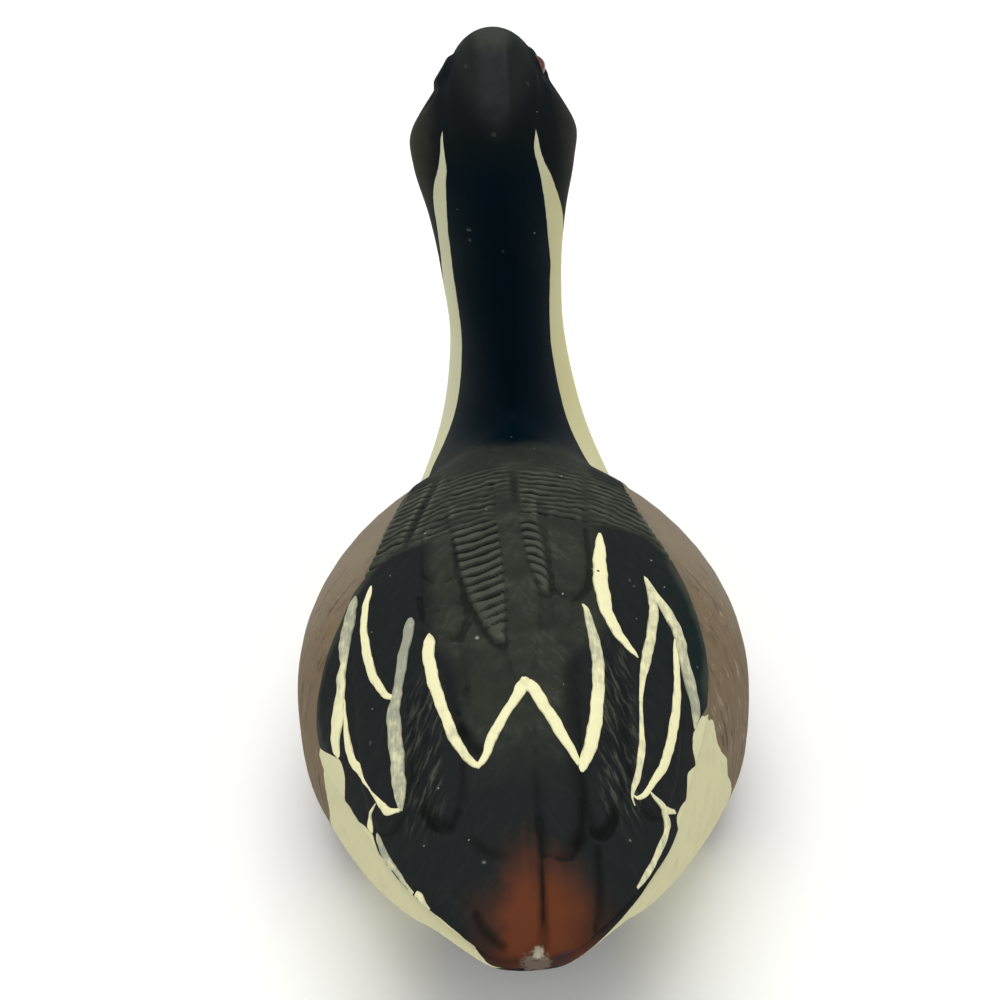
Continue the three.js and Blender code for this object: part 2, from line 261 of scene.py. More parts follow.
def leaf_height(x, y, feather):
    """lift * along, let down to nothing over FEATHER_RIM at the outline."""
    along, inside = leaf_places(x, y, feather)
    return feather[5] * np.clip(along, 0, 1) * ease(inside, 0, FEATHER_RIM)


def wander(x, y, reach):
    """A slow, smooth waver for hand-made lines: three sine waves in different
    directions, about reach millimetres long, between -1 and 1."""
    k = 2 * np.pi / reach
    return (np.sin(k * (0.9 * x + 0.5 * y) + 0.4)
            + np.sin(k * (-0.6 * x + 1.1 * y) * 0.7 + 2.1)
            + np.sin(k * (0.3 * x - 0.8 * y) * 1.6 + 4.4)) / 3


longest = max(np.hypot(*np.subtract(tip, root)) for root, tip, *_ in FEATHERS.values())
print("the longest feather is", longest.round(1), "mm")

# %% [markdown]
# A comb-like tool was drawn across the soft master, behind the neck and down two
# middle feathers, and left rows of ripples there. They are one wave: its phase is
# how far back a point lies, over the gap between two ripples. The hand
# that drew the comb strayed a little, so a waver is added first.

# %% The comb
SEAM_X = -0.2


def groove_comb(phase, narrow):
    """Grooves between rounded ridges, steeper on their front side:
    (0.5 + 0.5 cos)^narrow of a phase that is pushed forward by a tenth of its sine."""
    turn = 2 * np.pi * phase
    return (0.5 + 0.5 * np.cos(turn + 0.7 * np.sin(turn))) ** narrow


def comb_waver(x, y):
    """How far the comb strayed, in millimetres: the sum of three wavers, the longest
    of them the strongest."""
    return 0.42 * wander(x, y, 9) + 0.26 * wander(y, x, 3.4) + 0.12 * wander(x, 2 * y, 1.9)


strayed = comb_waver(np.linspace(0, 20, 99), np.linspace(0, 9, 99))
print("over this stretch the comb strays by up to", np.abs(strayed).max().round(2), "mm")

# %% [markdown]
# On the cape the ripples bow back from the seam, more on the left than on the right.
# They break where one row of feathers ends and the next begins, every second one is
# cut deeper, and along the seam and its neighbours the comb barely touched.

# %% Ripples on the cape
CAPE_GAP = 1.45
CAPE_DEPTH = 0.50
CAPE_BOW_LEFT = 0.20
CAPE_BOW_RIGHT = 0.13


def cape_end(x):
    """The plan y where the cape's ripples stop, further back at the sides."""
    side = np.abs(x - SEAM_X)
    left = 12.6 + 0.05 * np.maximum(side - 5, 0) + 0.6 * np.maximum(side - 19, 0)
    right = 10.2 + 0.05 * np.maximum(side - 5, 0) + 1.0 * np.maximum(side - 19.5, 0)
    return np.where(x > SEAM_X, left, right)


def cape_ripples(x, y):
    """Depth of the cape's grooves, and how strongly each point is combed, 0 to 1. The
    phase is (y - bow + waver) / CAPE_GAP, half a ripple off beyond the end of a row and
    not quite half across the seam."""
    side = np.abs(x - SEAM_X)
    on_the_left = x > SEAM_X
    bow = np.where(on_the_left, CAPE_BOW_LEFT * np.minimum(side, 16),
                   CAPE_BOW_RIGHT * side + 0.02 * np.maximum(side - 11, 0) ** 2)
    row_end = np.where(on_the_left, 11.6 + 0.28 * (y + 6.5), 11.2)
    offset = 0.5 * ease(side - row_end, -0.3, 0.3) + 0.4 * ease(x - SEAM_X, -0.5, 0.5)
    phase = (y - bow + comb_waver(x, y)) / CAPE_GAP + offset
    uneven = 0.70 + 0.30 * np.cos(np.pi * phase + 2 * wander(x, y, 14))
    patchy = 0.85 + 0.35 * wander(x * 0.8, y * 1.5, 5.3)
    combed = ease(cape_end(x) - y, -0.4, 0.7) * ease(y + 0.06 * x, -7.5, -3.5)
    combed = combed * (1 - 0.7 * np.clip(1 - np.abs(side - row_end) / 0.8, 0, 1))
    combed = combed * (1 - 0.85 * ease(np.abs(x - 0.8), 2.4, 1.2) * ease(y, 1.0, 6.0))
    combed = combed * (1 - 0.5 * ease(np.abs(x + 0.4), 1.6, 0.4))
    return CAPE_DEPTH * patchy * uneven * groove_comb(phase, 1.3), combed


print("the cape's ripples are", CAPE_GAP, "mm apart")

# %% [markdown]
# On two middle feathers the ripples are wider apart. They climb outwards, quickly at
# first on the left and slowly at first on the right. These feathers lie over the
# cape, so inside them only their own ripples count.

# %% Ripples down the two middle lobes, and all of them together
LOBE_GAP = 1.9
LOBE_DEPTH = 0.45
RIPPLED = ("left rippled lobe", "right rippled lobe")


def lobe_ripples(x, y):
    """Depth of the lobes' grooves, and how strongly each point is combed, 0 to 1."""
    on_the_left = x > SEAM_X
    climb = np.abs(x - SEAM_X) - np.where(on_the_left, 2.6, 0.8)
    bow = np.where(on_the_left, 0.58 * climb - 0.045 * climb ** 2,
                   0.23 * climb ** 2 - 0.36 * climb)
    phase = (y - bow + 0.6 * comb_waver(x, y)) / LOBE_GAP
    inside = np.maximum.reduce([leaf_places(x, y, FEATHERS[name])[1] for name in RIPPLED])
    combed = ease(inside, 0.0, 0.9) * ease(y, 8.5, 12.0)
    return LOBE_DEPTH * groove_comb(phase, 1.0), combed


def ripple_fields(x, y):
    """Depth of all the grooves, and how strongly each point is combed, 0 to 1."""
    cape_depth, on_cape = cape_ripples(x, y)
    lobe_depth, on_lobe = lobe_ripples(x, y)
    on_cape = on_cape * (1 - on_lobe)
    return cape_depth * on_cape + lobe_depth * on_lobe, np.maximum(on_cape, on_lobe)


print("the lobes' ripples are", LOBE_GAP, "mm apart")

# %% [markdown]
# Single cuts round off what the comb left: along the seam, under the feathers' tips
# and between the tail feathers. A cut is a path in plan with a width and a depth, and
# its section is a smooth dip, as a gouge makes.

# %% Knife lines
def groove_along(x, y, path, width, depth):
    """A knife line: -depth * (1 - (distance / width)^2)^2 within width of a path."""
    path = np.array(path, float)
    nearest = np.full(np.shape(x), 1e3)
    for start, end in zip(path[:-1], path[1:]):
        run = end - start
        t = ((x - start[0]) * run[0] + (y - start[1]) * run[1]) / (run @ run)
        t = np.clip(t, 0, 1)
        gap = np.hypot(x - start[0] - t * run[0], y - start[1] - t * run[1])
        nearest = np.minimum(nearest, gap)
    return -depth * np.clip(1 - (nearest / width) ** 2, 0, 1) ** 2


KNIFE_LINES = (
    # path in plan, width, depth
    (((9.3, 13.5), (8.5, 21.6), (7.5, 27.0), (6.5, 29.3), (5.3, 32.3), (3.9, 35.4),
      (2.4, 36.8), (1.0, 35.6)), 0.6, 0.32),
    (((-5.1, 18.0), (-5.3, 24.5), (-4.6, 27.4), (-3.2, 27.0)), 0.5, 0.25),
    (((8.9, 36.6), (9.8, 39.2), (10.6, 41.2)), 0.4, 0.15),
    (((7.5, 43.0), (8.5, 44.7), (8.8, 46.8)), 0.6, 0.30),
    (((-0.2, -5.5), (-0.4, -1.0), (-0.3, 6.0)), 0.9, 0.14),
    (((11.5, -6.5), (13.0, -0.7), (14.2, 3.4), (16.1, 10.0)), 1.0, 0.32),
    (((13.4, 20.5), (12.2, 22.0), (10.9, 22.9), (8.8, 22.3)), 0.5, 0.22),
    (((13.3, 23.4), (12.4, 26.5), (10.8, 27.7), (7.8, 27.6)), 0.5, 0.22),
    (((14.2, 24.5), (13.4, 29.1), (12.1, 31.7), (10.1, 33.6), (8.4, 34.0), (7.4, 31.6)),
     0.8, 0.42),
    (((-10.6, 12.4), (-10.9, 20.1), (-10.2, 25.4), (-8.9, 27.3), (-6.9, 27.6), (-5.1, 26.3)),
     0.7, 0.34),
    (((-1.3, 64.5), (-1.5, 70.0), (-1.3, 76.0), (-1.2, 81.5)), 1.1, 0.26),
    (((9.9, 73.2), (8.7, 74.9), (7.3, 76.6), (5.5, 79.6), (4.1, 81.2)), 0.8, 0.20),
    (((-8.6, 68.6), (-8.5, 73.8), (-8.0, 77.3), (-7.4, 79.2)), 0.9, 0.26),
    (((9.1, 61.8), (10.0, 63.4), (11.3, 63.6), (12.4, 62.7), (13.3, 61.2), (14.0, 59.9)),
     0.8, 0.28),
    (((-7.9, 65.3), (-8.6, 66.3), (-9.4, 66.4), (-10.2, 65.4), (-11.0, 63.2)), 0.8, 0.28),
    (((-7.1, 61.5), (-6.8, 65.2), (-6.2, 68.1), (-5.1, 69.8), (-3.6, 70.0), (-2.0, 69.4)),
     0.7, 0.25),
)
print(len(KNIFE_LINES), "knife lines")

# %% [markdown]
# The head has no feathers cut in it, only soft forms: a lid that swells round each eye,
# a socket for it, a hollow behind it, a crease above each cheek, nostrils, a mouth line,
# and the raised edge of the face where the bill starts. The two sides were modelled by hand
# and differ: the left lid is thicker, and its eye sits lower and further forward.

# %% The head's small forms, at (rib place, degrees) on the left, 1, and the right, -1
LID_PLACE = {1: (16.87, 59.0), -1: (16.97, 58.0)}
LID_HEIGHT = {1: 0.75, -1: 0.45}
EYE_PLACE = {1: (17.10, 64.0), -1: (16.97, 58.0)}
EYE_SUNK = {1: 1.3, -1: 1.2}
EYE_RADIUS = 1.9
SOCKET_DEPTH = 0.25
BEHIND_EYE = {1: (16.45, 62.0), -1: (16.66, 60.0)}
BEHIND_EYE_DEPTH = 0.6
CREASE_DEPTH = 0.35
NOSTRIL_PLACE = (19.75, 42.0)
NOSTRIL_DEPTH = 0.45
MOUTH_ANGLE = 104
MOUTH_DEPTH = 0.28
FACE_EDGE = 0.30
BILL_FROM = ((0, 18.55), (35, 18.75), (70, 18.95), (110, 18.7), (150, 18.2), (180, 18.0))


def bill_edge(u, angle):
    """Rib places past the line where the face's feathers meet the bill. BILL_FROM
    gives that line as (degrees from the back, rib place)."""
    places = np.array(BILL_FROM, float)
    return u - np.interp(np.abs(angle), places[:, 0], places[:, 1])


def on_side(place, side):
    """The point of the plain skin at a (rib place, degrees) of one side."""
    return plain_skin(np.array(place[0]), np.array(side * place[1]))


def head_forms(u, angle):
    """The sum of all these forms in millimetres. Each is a height times a smooth step of
    the distance from its place, or of how far a point lies from its line."""
    point = plain_skin(u, angle)
    height = np.zeros(u.shape)
    on_head = u > 14
    for side in (1, -1):
        away = np.linalg.norm(point - on_side(LID_PLACE[side], side), axis=-1)
        height += on_head * LID_HEIGHT[side] * ease(away, 2 * EYE_RADIUS, EYE_RADIUS)
        away = np.linalg.norm(point - on_side(EYE_PLACE[side], side), axis=-1)
        height -= on_head * SOCKET_DEPTH * ease(away, EYE_RADIUS + 0.4, EYE_RADIUS - 0.2)
        away = np.linalg.norm(point - on_side(BEHIND_EYE[side], side), axis=-1)
        height -= on_head * BEHIND_EYE_DEPTH * ease(away, 3.2, 0.5)
        off = point - on_side(NOSTRIL_PLACE, side)
        slit = ease(np.hypot(off[..., 1] / 1.7, off[..., 2] / 0.7), 1.0, 0.2)
        height -= on_head * NOSTRIL_DEPTH * slit
    crease = 35 + 16 * (u - 15.9)
    dent = np.clip(1 - ((np.abs(angle) - crease) / 8) ** 2, 0, 1) ** 2
    height -= CREASE_DEPTH * dent * ease(u, 15.4, 15.9) * ease(u, 16.9, 16.6)
    lip = np.abs(np.abs(angle) - MOUTH_ANGLE) / 5
    along_bill = ease(u, 18.6, 18.9) * ease(u, 21.8, 21.4)
    height -= MOUTH_DEPTH * np.clip(1 - lip, 0, 1) * along_bill
    height += FACE_EDGE * ease(bill_edge(u, angle), 0.03, -0.05) * ease(u, 17.4, 18.3)
    return height


print("right eye at", on_side(EYE_PLACE[-1], -1).round(1), "mm")

# %% [markdown]
# The finished surface is the plain skin moved outwards by the sum of it all. The solid
# that it replaces is faceted, and a flat facet cuts a little inside a curve. So the
# whole skin is let in by less than a tenth of a millimetre, and stays
# inside the solid's box. At the tail's end a crumb of the casting is missing.

# %% All the carving together
FULL_SHELL = 0.7
SKIN_INSET = 0.08
CHIP_PLACE = (-0.2, 82.2)
CHIP_RADIUS = 2.0
CHIP_DEPTH = 0.8


def carving(u, angle):
    """Height of the finished carving above the plain skin, in millimetres. All of it
    lies SKIN_INSET deeper, so that no point comes outside the solid's flat facets."""
    rib = rib_at(u)
    point = plain_skin(u, angle)
    x = point[..., 0]
    y = point[..., 1]
    edge = np.where(angle >= 0, rib["mantle_left"], rib["mantle_right"])
    on_mantle = ease(np.abs(angle) - edge, STEP_DEGREES, 0)
    fade = ease(rib["shell"], 0, FULL_SHELL)
    leaves = [leaf_height(x, y, leaf) for leaf in FEATHERS.values()]
    carved = np.maximum.reduce(leaves) + 0.05 * wander(x, y, 3.7) * (y > 12)
    knife = sum(groove_along(x, y, *line) for line in KNIFE_LINES)
    behind_neck = ease(u, 11.2, 10.2)
    height = rib["shell"] * fade + (carved + knife) * fade * behind_neck
    height = height - ripple_fields(x, y)[0] * ease(u, 10.4, 9.4)
    chip = ease(np.hypot(x - CHIP_PLACE[0], (y - CHIP_PLACE[1]) * 1.3), CHIP_RADIUS, 0.4)
    ragged = 0.75 + 0.25 * wander(x, y, 1.6)
    height = on_mantle * (height - CHIP_DEPTH * chip * ragged)
    return height + head_forms(u, angle) - SKIN_INSET


def carved_skin(u, angle):
    """The plain skin moved outwards by the carving, never below the flat underside
    and never past the bill's tip."""
    outward, _, _ = skin_frame(u, angle)
    point = plain_skin(u, angle) + outward * carving(u, angle)[..., None]
    point[..., 2] = np.maximum(point[..., 2], 0)
    point[..., 1] = np.maximum(point[..., 1], RIBS[-1, 0] + 0.02)
    return point, outward


grid_height = carving(grid_u, grid_angle)
grid_point, _ = carved_skin(grid_u, grid_angle)
_, grid_mm_per_rib, grid_mm_per_degree = skin_frame(grid_u, grid_angle)
print("carving from", grid_height.min().round(2), "to", grid_height.max().round(2), "mm")

# %% [markdown]
# Hand-painted borders are curves on this same skin, so each is written as a list of
# places. What the paint needs later is how far every point lies from a border:
# a number that is positive on one side, negative on the other and in true millimetres.
# To first order that distance is F divided by the length of F's slope,
# where F is any smooth function that is zero on the border.

# %% Where one paint stops and the next begins
# along the bird: (rib place, degrees from the back)
DARK_LEFT = ((0.0, 112), (0.6, 106), (0.9, 90), (1.2, 68), (1.5, 62), (1.84, 66), (2.4, 73),
             (3.3, 73), (3.5, 70), (3.7, 72), (3.95, 76), (4.18, 75), (4.3, 68), (4.5, 65),
             (4.7, 68), (4.95, 72), (5.23, 69), (5.4, 65), (5.6, 58), (5.72, 52), (5.91, 47),
             (6.08, 43), (6.22, 39), (6.5, 36), (6.84, 34), (7.49, 34), (8.4, 34), (9.3, 43),
             (10.3, 56), (11.0, 55), (11.7, 53), (13.1, 52), (13.9, 48), (14.5, 40.5), (15.0, 35),
             (15.4, 35), (15.8, 36.5))
DARK_RIGHT = ((0.0, 122), (0.6, 116), (1.2, 106), (1.6, 92), (2.0, 84), (2.6, 78), (3.2, 77),
              (3.38, 74), (3.44, 67), (3.6, 66), (3.77, 68), (3.99, 62), (4.19, 65), (4.25, 60),
              (4.4, 57), (4.6, 57), (4.85, 58), (5.0, 56), (5.27, 54), (5.5, 51), (5.77, 46),
              (6.0, 42), (6.22, 39), (6.5, 37), (6.8, 34), (7.2, 32), (7.7, 32), (8.4, 36),
              (9.3, 41), (10.2, 43), (11.2, 47), (12.0, 47), (12.6, 50), (13.2, 53),
              (14.2, 42), (14.75, 35), (15.2, 29), (15.4, 27.5), (15.75, 30))
UNDERTAIL = ((0, 112), (1, 118), (2, 126), (3, 134), (4, 144), (4.6, 152))
# round the bird: (degrees from the back, rib place)
HOOD_LEFT = ((36, 15.85), (38, 15.4), (40, 15.15), (46, 14.88), (57, 14.45), (63, 14.06),
             (67, 13.68), (72, 13.32), (90, 12.5), (120, 12.4), (180, 12.8))
HOOD_RIGHT = ((30, 15.75), (31, 15.4), (36, 15.11), (51, 14.56), (61, 14.28), (74, 13.95),
              (87, 13.45), (100, 12.9), (120, 12.5), (180, 12.8))
BREAST_FROM = ((30, 9.3), (60, 9.15), (100, 8.9), (150, 8.6), (180, 8.5))
RUMP_LEFT = ((60, 5.0), (72, 4.95), (75, 4.93), (79, 4.91), (83, 4.86), (85, 4.79), (89, 4.73),
             (92, 4.68), (95, 4.80), (110, 4.95), (130, 5.2), (180, 5.5))
RUMP_RIGHT = ((55, 4.64), (58, 4.68), (61, 4.82), (65, 4.88), (67, 4.78), (70, 4.75),
              (75, 4.73), (78, 4.84), (82, 4.86), (85, 4.80), (88, 4.84), (91, 4.95), (96, 5.02),
              (110, 5.2), (130, 5.4), (180, 5.6))
NAPE_LEFT = ((0, 8.85), (10, 9.15), (27, 10.02), (40, 10.4), (58, 10.6), (80, 10.6))
NAPE_RIGHT = ((0, 8.85), (10, 9.15), (28, 9.94), (44, 10.31), (60, 10.5), (80, 10.5))
borders = (DARK_LEFT, DARK_RIGHT, UNDERTAIL, HOOD_LEFT, HOOD_RIGHT, BREAST_FROM,
           RUMP_LEFT, RUMP_RIGHT, NAPE_LEFT, NAPE_RIGHT)
print(len(borders), "borders with", sum(map(len, borders)), "places")

# %% [markdown]
# Borders that run along the bird give an angle for each rib place, and borders that
# run round it give a rib place for each angle. Either way F is the difference between
# a point's own value and the border's. Straight runs between the places would
# show as corners, so five shifted copies are averaged.

# %% From a border to a distance
RIB_CORNER = 0.04
ANGLE_CORNER = 1 / 80


def border_distance(miss, of_u, of_angle):
    """miss / |slope of miss|, with the slopes given per rib place and per degree."""
    slope = np.hypot(of_u / grid_mm_per_rib, of_angle / grid_mm_per_degree)
    return miss / slope


def softly(values, places, corner):
    """Straight runs between the places, averaged over five steps from -corner to
    corner, which rounds every bend."""
    steps = corner * np.linspace(-1, 1, 5)
    return sum(np.interp(values + step, places[:, 0], places[:, 1]) for step in steps) / 5


def by_rib(places, value_u):
    """The angle of a border at each rib place, and how fast it changes."""
    places = np.array(places, float)
    du = 0.05
    here = softly(value_u, places, RIB_CORNER)
    return here, (softly(value_u + du, places, RIB_CORNER) - here) / du


def by_angle(places, value_angle):
    """The rib place of a border at each angle, and how fast it changes. Its corners are
    rounded over a share of the angle that the whole border spans."""
    places = np.array(places, float)
    corner = ANGLE_CORNER * np.ptp(places[:, 0])
    here = softly(value_angle, places, corner)
    return here, softly(value_angle + 1, places, corner) - here


down = np.abs(grid_angle)
on_left = grid_angle >= 0


def left_or_right(left, right, read, value):
    """The border of the side that each point is on."""
    on_the_left = read(left, value)
    on_the_right = read(right, value)
    return tuple(np.where(on_left, a, b) for a, b in zip(on_the_left, on_the_right))


print("corners along the bird are rounded over", RIB_CORNER, "of a rib either side")

# %% [markdown]
# The real painter made seven such borders. The dark paint ends where the neck does,
# because beyond that the hood takes over, and the undertail's black only
# reaches as far as the rump.

# %% How far every point lies from each border, in millimetres
NECK_END = 15.9
UNDERTAIL_END = 4.8
FAR_INSIDE = 5.0

dark_angle, dark_slope = left_or_right(DARK_LEFT, DARK_RIGHT, by_rib, grid_u)
dark_edge = border_distance(dark_angle - down, dark_slope, 1.0)
dark_edge = np.where(grid_u > NECK_END, FAR_INSIDE, dark_edge)

hood_place, hood_slope = left_or_right(HOOD_LEFT, HOOD_RIGHT, by_angle, down)
hood_edge = border_distance(grid_u - hood_place, 1.0, hood_slope)

nape_place, nape_slope = left_or_right(NAPE_LEFT, NAPE_RIGHT, by_angle, down)
nape_edge = border_distance(grid_u - nape_place, 1.0, nape_slope)

breast_place, breast_slope = by_angle(BREAST_FROM, down)
breast_edge = border_distance(grid_u - breast_place, 1.0, breast_slope)

rump_place, rump_slope = left_or_right(RUMP_LEFT, RUMP_RIGHT, by_angle, down)
rump_edge = border_distance(rump_place - grid_u, 1.0, rump_slope)

under_angle, under_slope = by_rib(UNDERTAIL, grid_u)
under_edge = border_distance(down - under_angle, under_slope, 1.0)
under_edge = np.where(grid_u > UNDERTAIL_END, -FAR_INSIDE, under_edge)

bill_distance = border_distance(bill_edge(grid_u, grid_angle), 1.0, 0.0)
print("border distances are ready for", dark_edge.size, "points")

# %% [markdown]
# The carving's high places are painted lighter, partly by a nearly dry brush and partly as painted
# highlight, and its low places darker, as painted shade. What counts is the height compared with
# its surroundings, so the height field is blurred and taken away from itself. The middle of the
# back was also painted olive, in a shape that narrows towards the tail, and the tertials carry
# short barbs.

# %% Ridges, olive and barbs
def blur(values, times):
    """Each pass is a quarter, a half, a quarter of neighbours down the rows and
    round the columns, which wrap."""
    for _ in range(times):
        up = np.vstack([values[:1], values[:-1]])
        down_row = np.vstack([values[1:], values[-1:]])
        values = (up + 2 * values + down_row) / 4
        values = (np.roll(values, 1, 1) + 2 * values + np.roll(values, -1, 1)) / 4
    return values


ridge = grid_height - blur(grid_height, 12)
x_plan = grid_point[..., 0]
y_plan = grid_point[..., 1]
combed = ripple_fields(x_plan, y_plan)[1]
rearwards = ease(y_plan, 31.0, 42.0)
olive_reach = 12.6 - 5.6 * rearwards
olive = (ease(np.abs(x_plan - 1.4 * rearwards) - olive_reach, 1.5, -1.5)
         * ease(y_plan, 62.0, 46.0) * (0.5 + 0.5 * ease(y_plan, -14.0, -4.0))
         + combed * ease(y_plan, 22.0, 16.0)).clip(0, 1)
barbed_left = ease(x_plan, 10.5, 12.5) * ease(x_plan, 17.5, 15.0) * ease(y_plan, 37.0, 44.0)
barbed_right = ease(x_plan, -9.0, -11.0) * ease(x_plan, -16.5, -14.0) * ease(y_plan, 33.0, 40.0)
barbed = (barbed_left + barbed_right) * ease(y_plan, 66.0, 58.0)
print("ridges stand up to", ridge.max().round(2), "mm above their surroundings")

# %% [markdown]
# Painted shadows darken the deepest places, where shade falls: under the feathers' tips, along the
# seam and beside the white lines. They follow paths in plan, as the knife lines do, so the same
# function gives their strength.

# %% Painted shadows in the hollows
# Painted shade: each path darkens the paint where a feather's tip or a line overhangs.
PAINTED_SHADOWS = (
    # path in plan, width, strength
    (((-6.8, 55.3), (-7.1, 59.7), (-7.3, 63.3), (-6.9, 66.0), (-6.0, 67.8)), 1.9, 0.50),
    (((-6.7, 67.0), (-5.0, 69.3)), 1.6, 0.45),
    (((-11.5, 62.3), (-10.7, 64.5), (-9.6, 65.9), (-8.7, 66.1)), 1.1, 0.90),
    (((-1.3, 66.0), (-1.4, 69.9), (-1.3, 75.3), (-1.1, 81.0)), 1.0, 0.40),
    (((-8.8, 68.1), (-8.8, 70.9), (-8.6, 74.2), (-8.4, 76.8)), 1.0, 0.60),
    (((7.4, 76.9), (6.7, 78.5), (5.6, 79.9), (4.1, 81.1)), 1.0, 0.70),
    (((7.6, 66.6), (6.4, 68.1), (4.9, 69.1), (3.5, 69.5)), 1.2, 0.45),
    (((14.2, 59.6), (13.2, 61.5), (11.7, 63.4), (10.4, 64.1)), 1.3, 0.65),
    (((8.6, 49.5), (7.3, 52.5), (6.4, 53.6)), 1.6, 0.80),
    (((10.2, 41.0), (9.4, 46.2), (8.5, 50.4)), 1.4, 0.25),
    (((-7.3, 37.2), (-7.1, 44.1), (-6.5, 50.0)), 2.0, 0.30),
    (((-0.5, -1.0), (-0.3, 2.5), (-0.5, 5.5)), 0.9, 0.35),
)
grid_rib = rib_at(grid_u)
mantle_edge = np.where(on_left, grid_rib["mantle_left"], grid_rib["mantle_right"])
on_mantle_top = (down < mantle_edge) & (grid_u < 11)
wash = -sum(groove_along(x_plan, y_plan, *line) for line in PAINTED_SHADOWS)
wash = np.clip(wash, 0, 1) * on_mantle_top
print(len(PAINTED_SHADOWS), "washes reach", np.count_nonzero(wash), "points")

# %% [markdown]
# The brown sides are streaked, and a streak has to know how far down the flank it is.
# That is a length on the surface: the steps between neighbouring points of a
# rib, summed from the ridge down each side, less the sum at the mantle's edge.

# %% How far down the flank each point lies
steps = np.linalg.norm(np.diff(grid_point, axis=1), axis=-1)
half_columns = left_angles.shape[1]
down_left = np.cumsum(np.pad(steps[:, :half_columns - 1], ((0, 0), (1, 0))), axis=1)
mirrored = grid_point[:, half_columns - 1:][:, ::-1]
closing = np.concatenate([grid_point[:, :1], mirrored], axis=1)
steps_right = np.linalg.norm(np.diff(closing, axis=1), axis=-1)
down_right = np.cumsum(steps_right, axis=1)[:, :-1][:, ::-1]
from_ridge = np.hstack([down_left, down_right])
edge_run = np.where(on_left, from_ridge[:, MANTLE_COLUMNS:MANTLE_COLUMNS + 1],
                    from_ridge[:, -MANTLE_COLUMNS:][:, :1])
flank_down = from_ridge - edge_run
print("from the mantle to the keel it is up to", flank_down.max().round(1), "mm over the skin")

# %% [markdown]
# A mesh is made straight from the arrays: rings of points, quads between them,
# and a fan of triangles over each end. The same helper serves the body and every
# brush stroke, because a stroke of thick paint is also a closed skin of rings.
# The signed volume says which way the faces point, so they always end up outwards.

# %% Meshes from rings of points
def ring_faces(ring_count, columns, first):
    """Quads between neighbouring rings and fans to the two hub points after them."""
    a = first + np.arange(ring_count - 1)[:, None] * columns + np.arange(columns)
    b = first + np.arange(ring_count - 1)[:, None] * columns + (np.arange(columns) + 1) % columns
    quads = np.stack([a, a + columns, b + columns, b], axis=-1).reshape(-1, 4)
    hub = first + ring_count * columns
    start = first + np.arange(columns)
    start_next = first + (np.arange(columns) + 1) % columns
    end = start + (ring_count - 1) * columns
    end_next = start_next + (ring_count - 1) * columns
    near_fan = np.stack([np.full(columns, hub), start, start_next], axis=-1)
    far_fan = np.stack([np.full(columns, hub + 1), end_next, end], axis=-1)
    return quads, np.vstack([near_fan, far_fan])


def with_hubs(values):
    """A ring grid as one list, with the means of its first and last ring after it."""
    flat = values.reshape(-1, *values.shape[2:])
    return np.concatenate([flat, values[:1].mean(axis=1), values[-1:].mean(axis=1)])


def signed_volume(points, triangles):
    """A sixth of the sum of a . (b x c): positive when the faces point outwards."""
    a, b, c = (points[triangles[:, k]] for k in range(3))
    return np.einsum("ij,ij->i", a, np.cross(b, c)).sum() / 6


print("a ring of 4 has", len(ring_faces(2, 4, 0)[0]), "quads to the next")

# %% [markdown]
# One function turns such grids into an object. It also stores marks on the points:
# numbers such as a border's distance, which the shader reads back by name.
# Blender takes whole arrays through foreach_set, which is far quicker than
# adding vertices one at a time.

# %% From grids to an object
def closed_skins(name, grids, attributes):
    """One object from several ring grids in millimetres, with point attributes that
    are given as one list of grids for each name."""
    points, quads, fans = [], [], []
    first = 0
    for grid in grids:
        own = with_hubs(grid)
        own_quads, own_fans = ring_faces(*grid.shape[:2], 0)
        halves = [own_quads[:, [0, 1, 2]], own_quads[:, [0, 2, 3]], own_fans]
        if signed_volume(own - own.mean(axis=0), np.vstack(halves)) < 0:
            own_quads = own_quads[:, ::-1]
            own_fans = own_fans[:, ::-1]
        points.append(own)
        quads.append(own_quads + first)
        fans.append(own_fans + first)
        first += len(own)
    points, quads, fans = map(np.vstack, (points, quads, fans))
    mesh = bpy.data.meshes.new(name)
    mesh.vertices.add(len(points))
    mesh.vertices.foreach_set("co", (points * MM).astype(np.float32).ravel())
    mesh.loops.add(quads.size + fans.size)
    corners = np.concatenate([quads.ravel(), fans.ravel()])
    mesh.loops.foreach_set("vertex_index", corners.astype(np.int32))
    starts = np.concatenate([4 * np.arange(len(quads)), quads.size + 3 * np.arange(len(fans))])
    mesh.polygons.add(len(starts))
    mesh.polygons.foreach_set("loop_start", starts.astype(np.int32))
    mesh.update(calc_edges=True)
    mesh.validate()
    mesh.shade_smooth()
    for key, values in attributes.items():
        layer = mesh.attributes.new(key, "FLOAT", "POINT")
        flat = np.concatenate([with_hubs(value) for value in values])
        layer.data.foreach_set("value", flat.astype(np.float32))
    piece = bpy.data.objects.new(name, mesh)
    scene.collection.objects.link(piece)
    print(name, "has", len(points), "points and", 2 * len(quads) + len(fans), "triangles")
    return piece


# %% [markdown]
# The body is one grid, and it takes all its marks with it: how far each point lies from every
# border, how it stands against its surroundings, and where the comb, the barbs, the olive and the
# painted shadows are. No picture is wrapped round the bird.

# %% The painted body's mesh
body_marks = {
    "dark_edge": [dark_edge], "hood_edge": [hood_edge], "breast_edge": [breast_edge],
    "rump_edge": [rump_edge], "under_edge": [under_edge], "bill_edge": [bill_distance],
    "nape_edge": [nape_edge], "rib_place": [grid_u], "ridge": [ridge], "olive": [olive],
    "barbed": [barbed], "combed": [combed], "wash": [wash], "flank_down": [flank_down],
}
painted_duck = closed_skins("painted_duck", [grid_point], body_marks)

# %% [markdown]
# A shader is a sum of small decisions, and it reads best as arithmetic.
# The Wire class stands for one output of a node: adding, subtracting or multiplying
# wires lays down Math nodes.

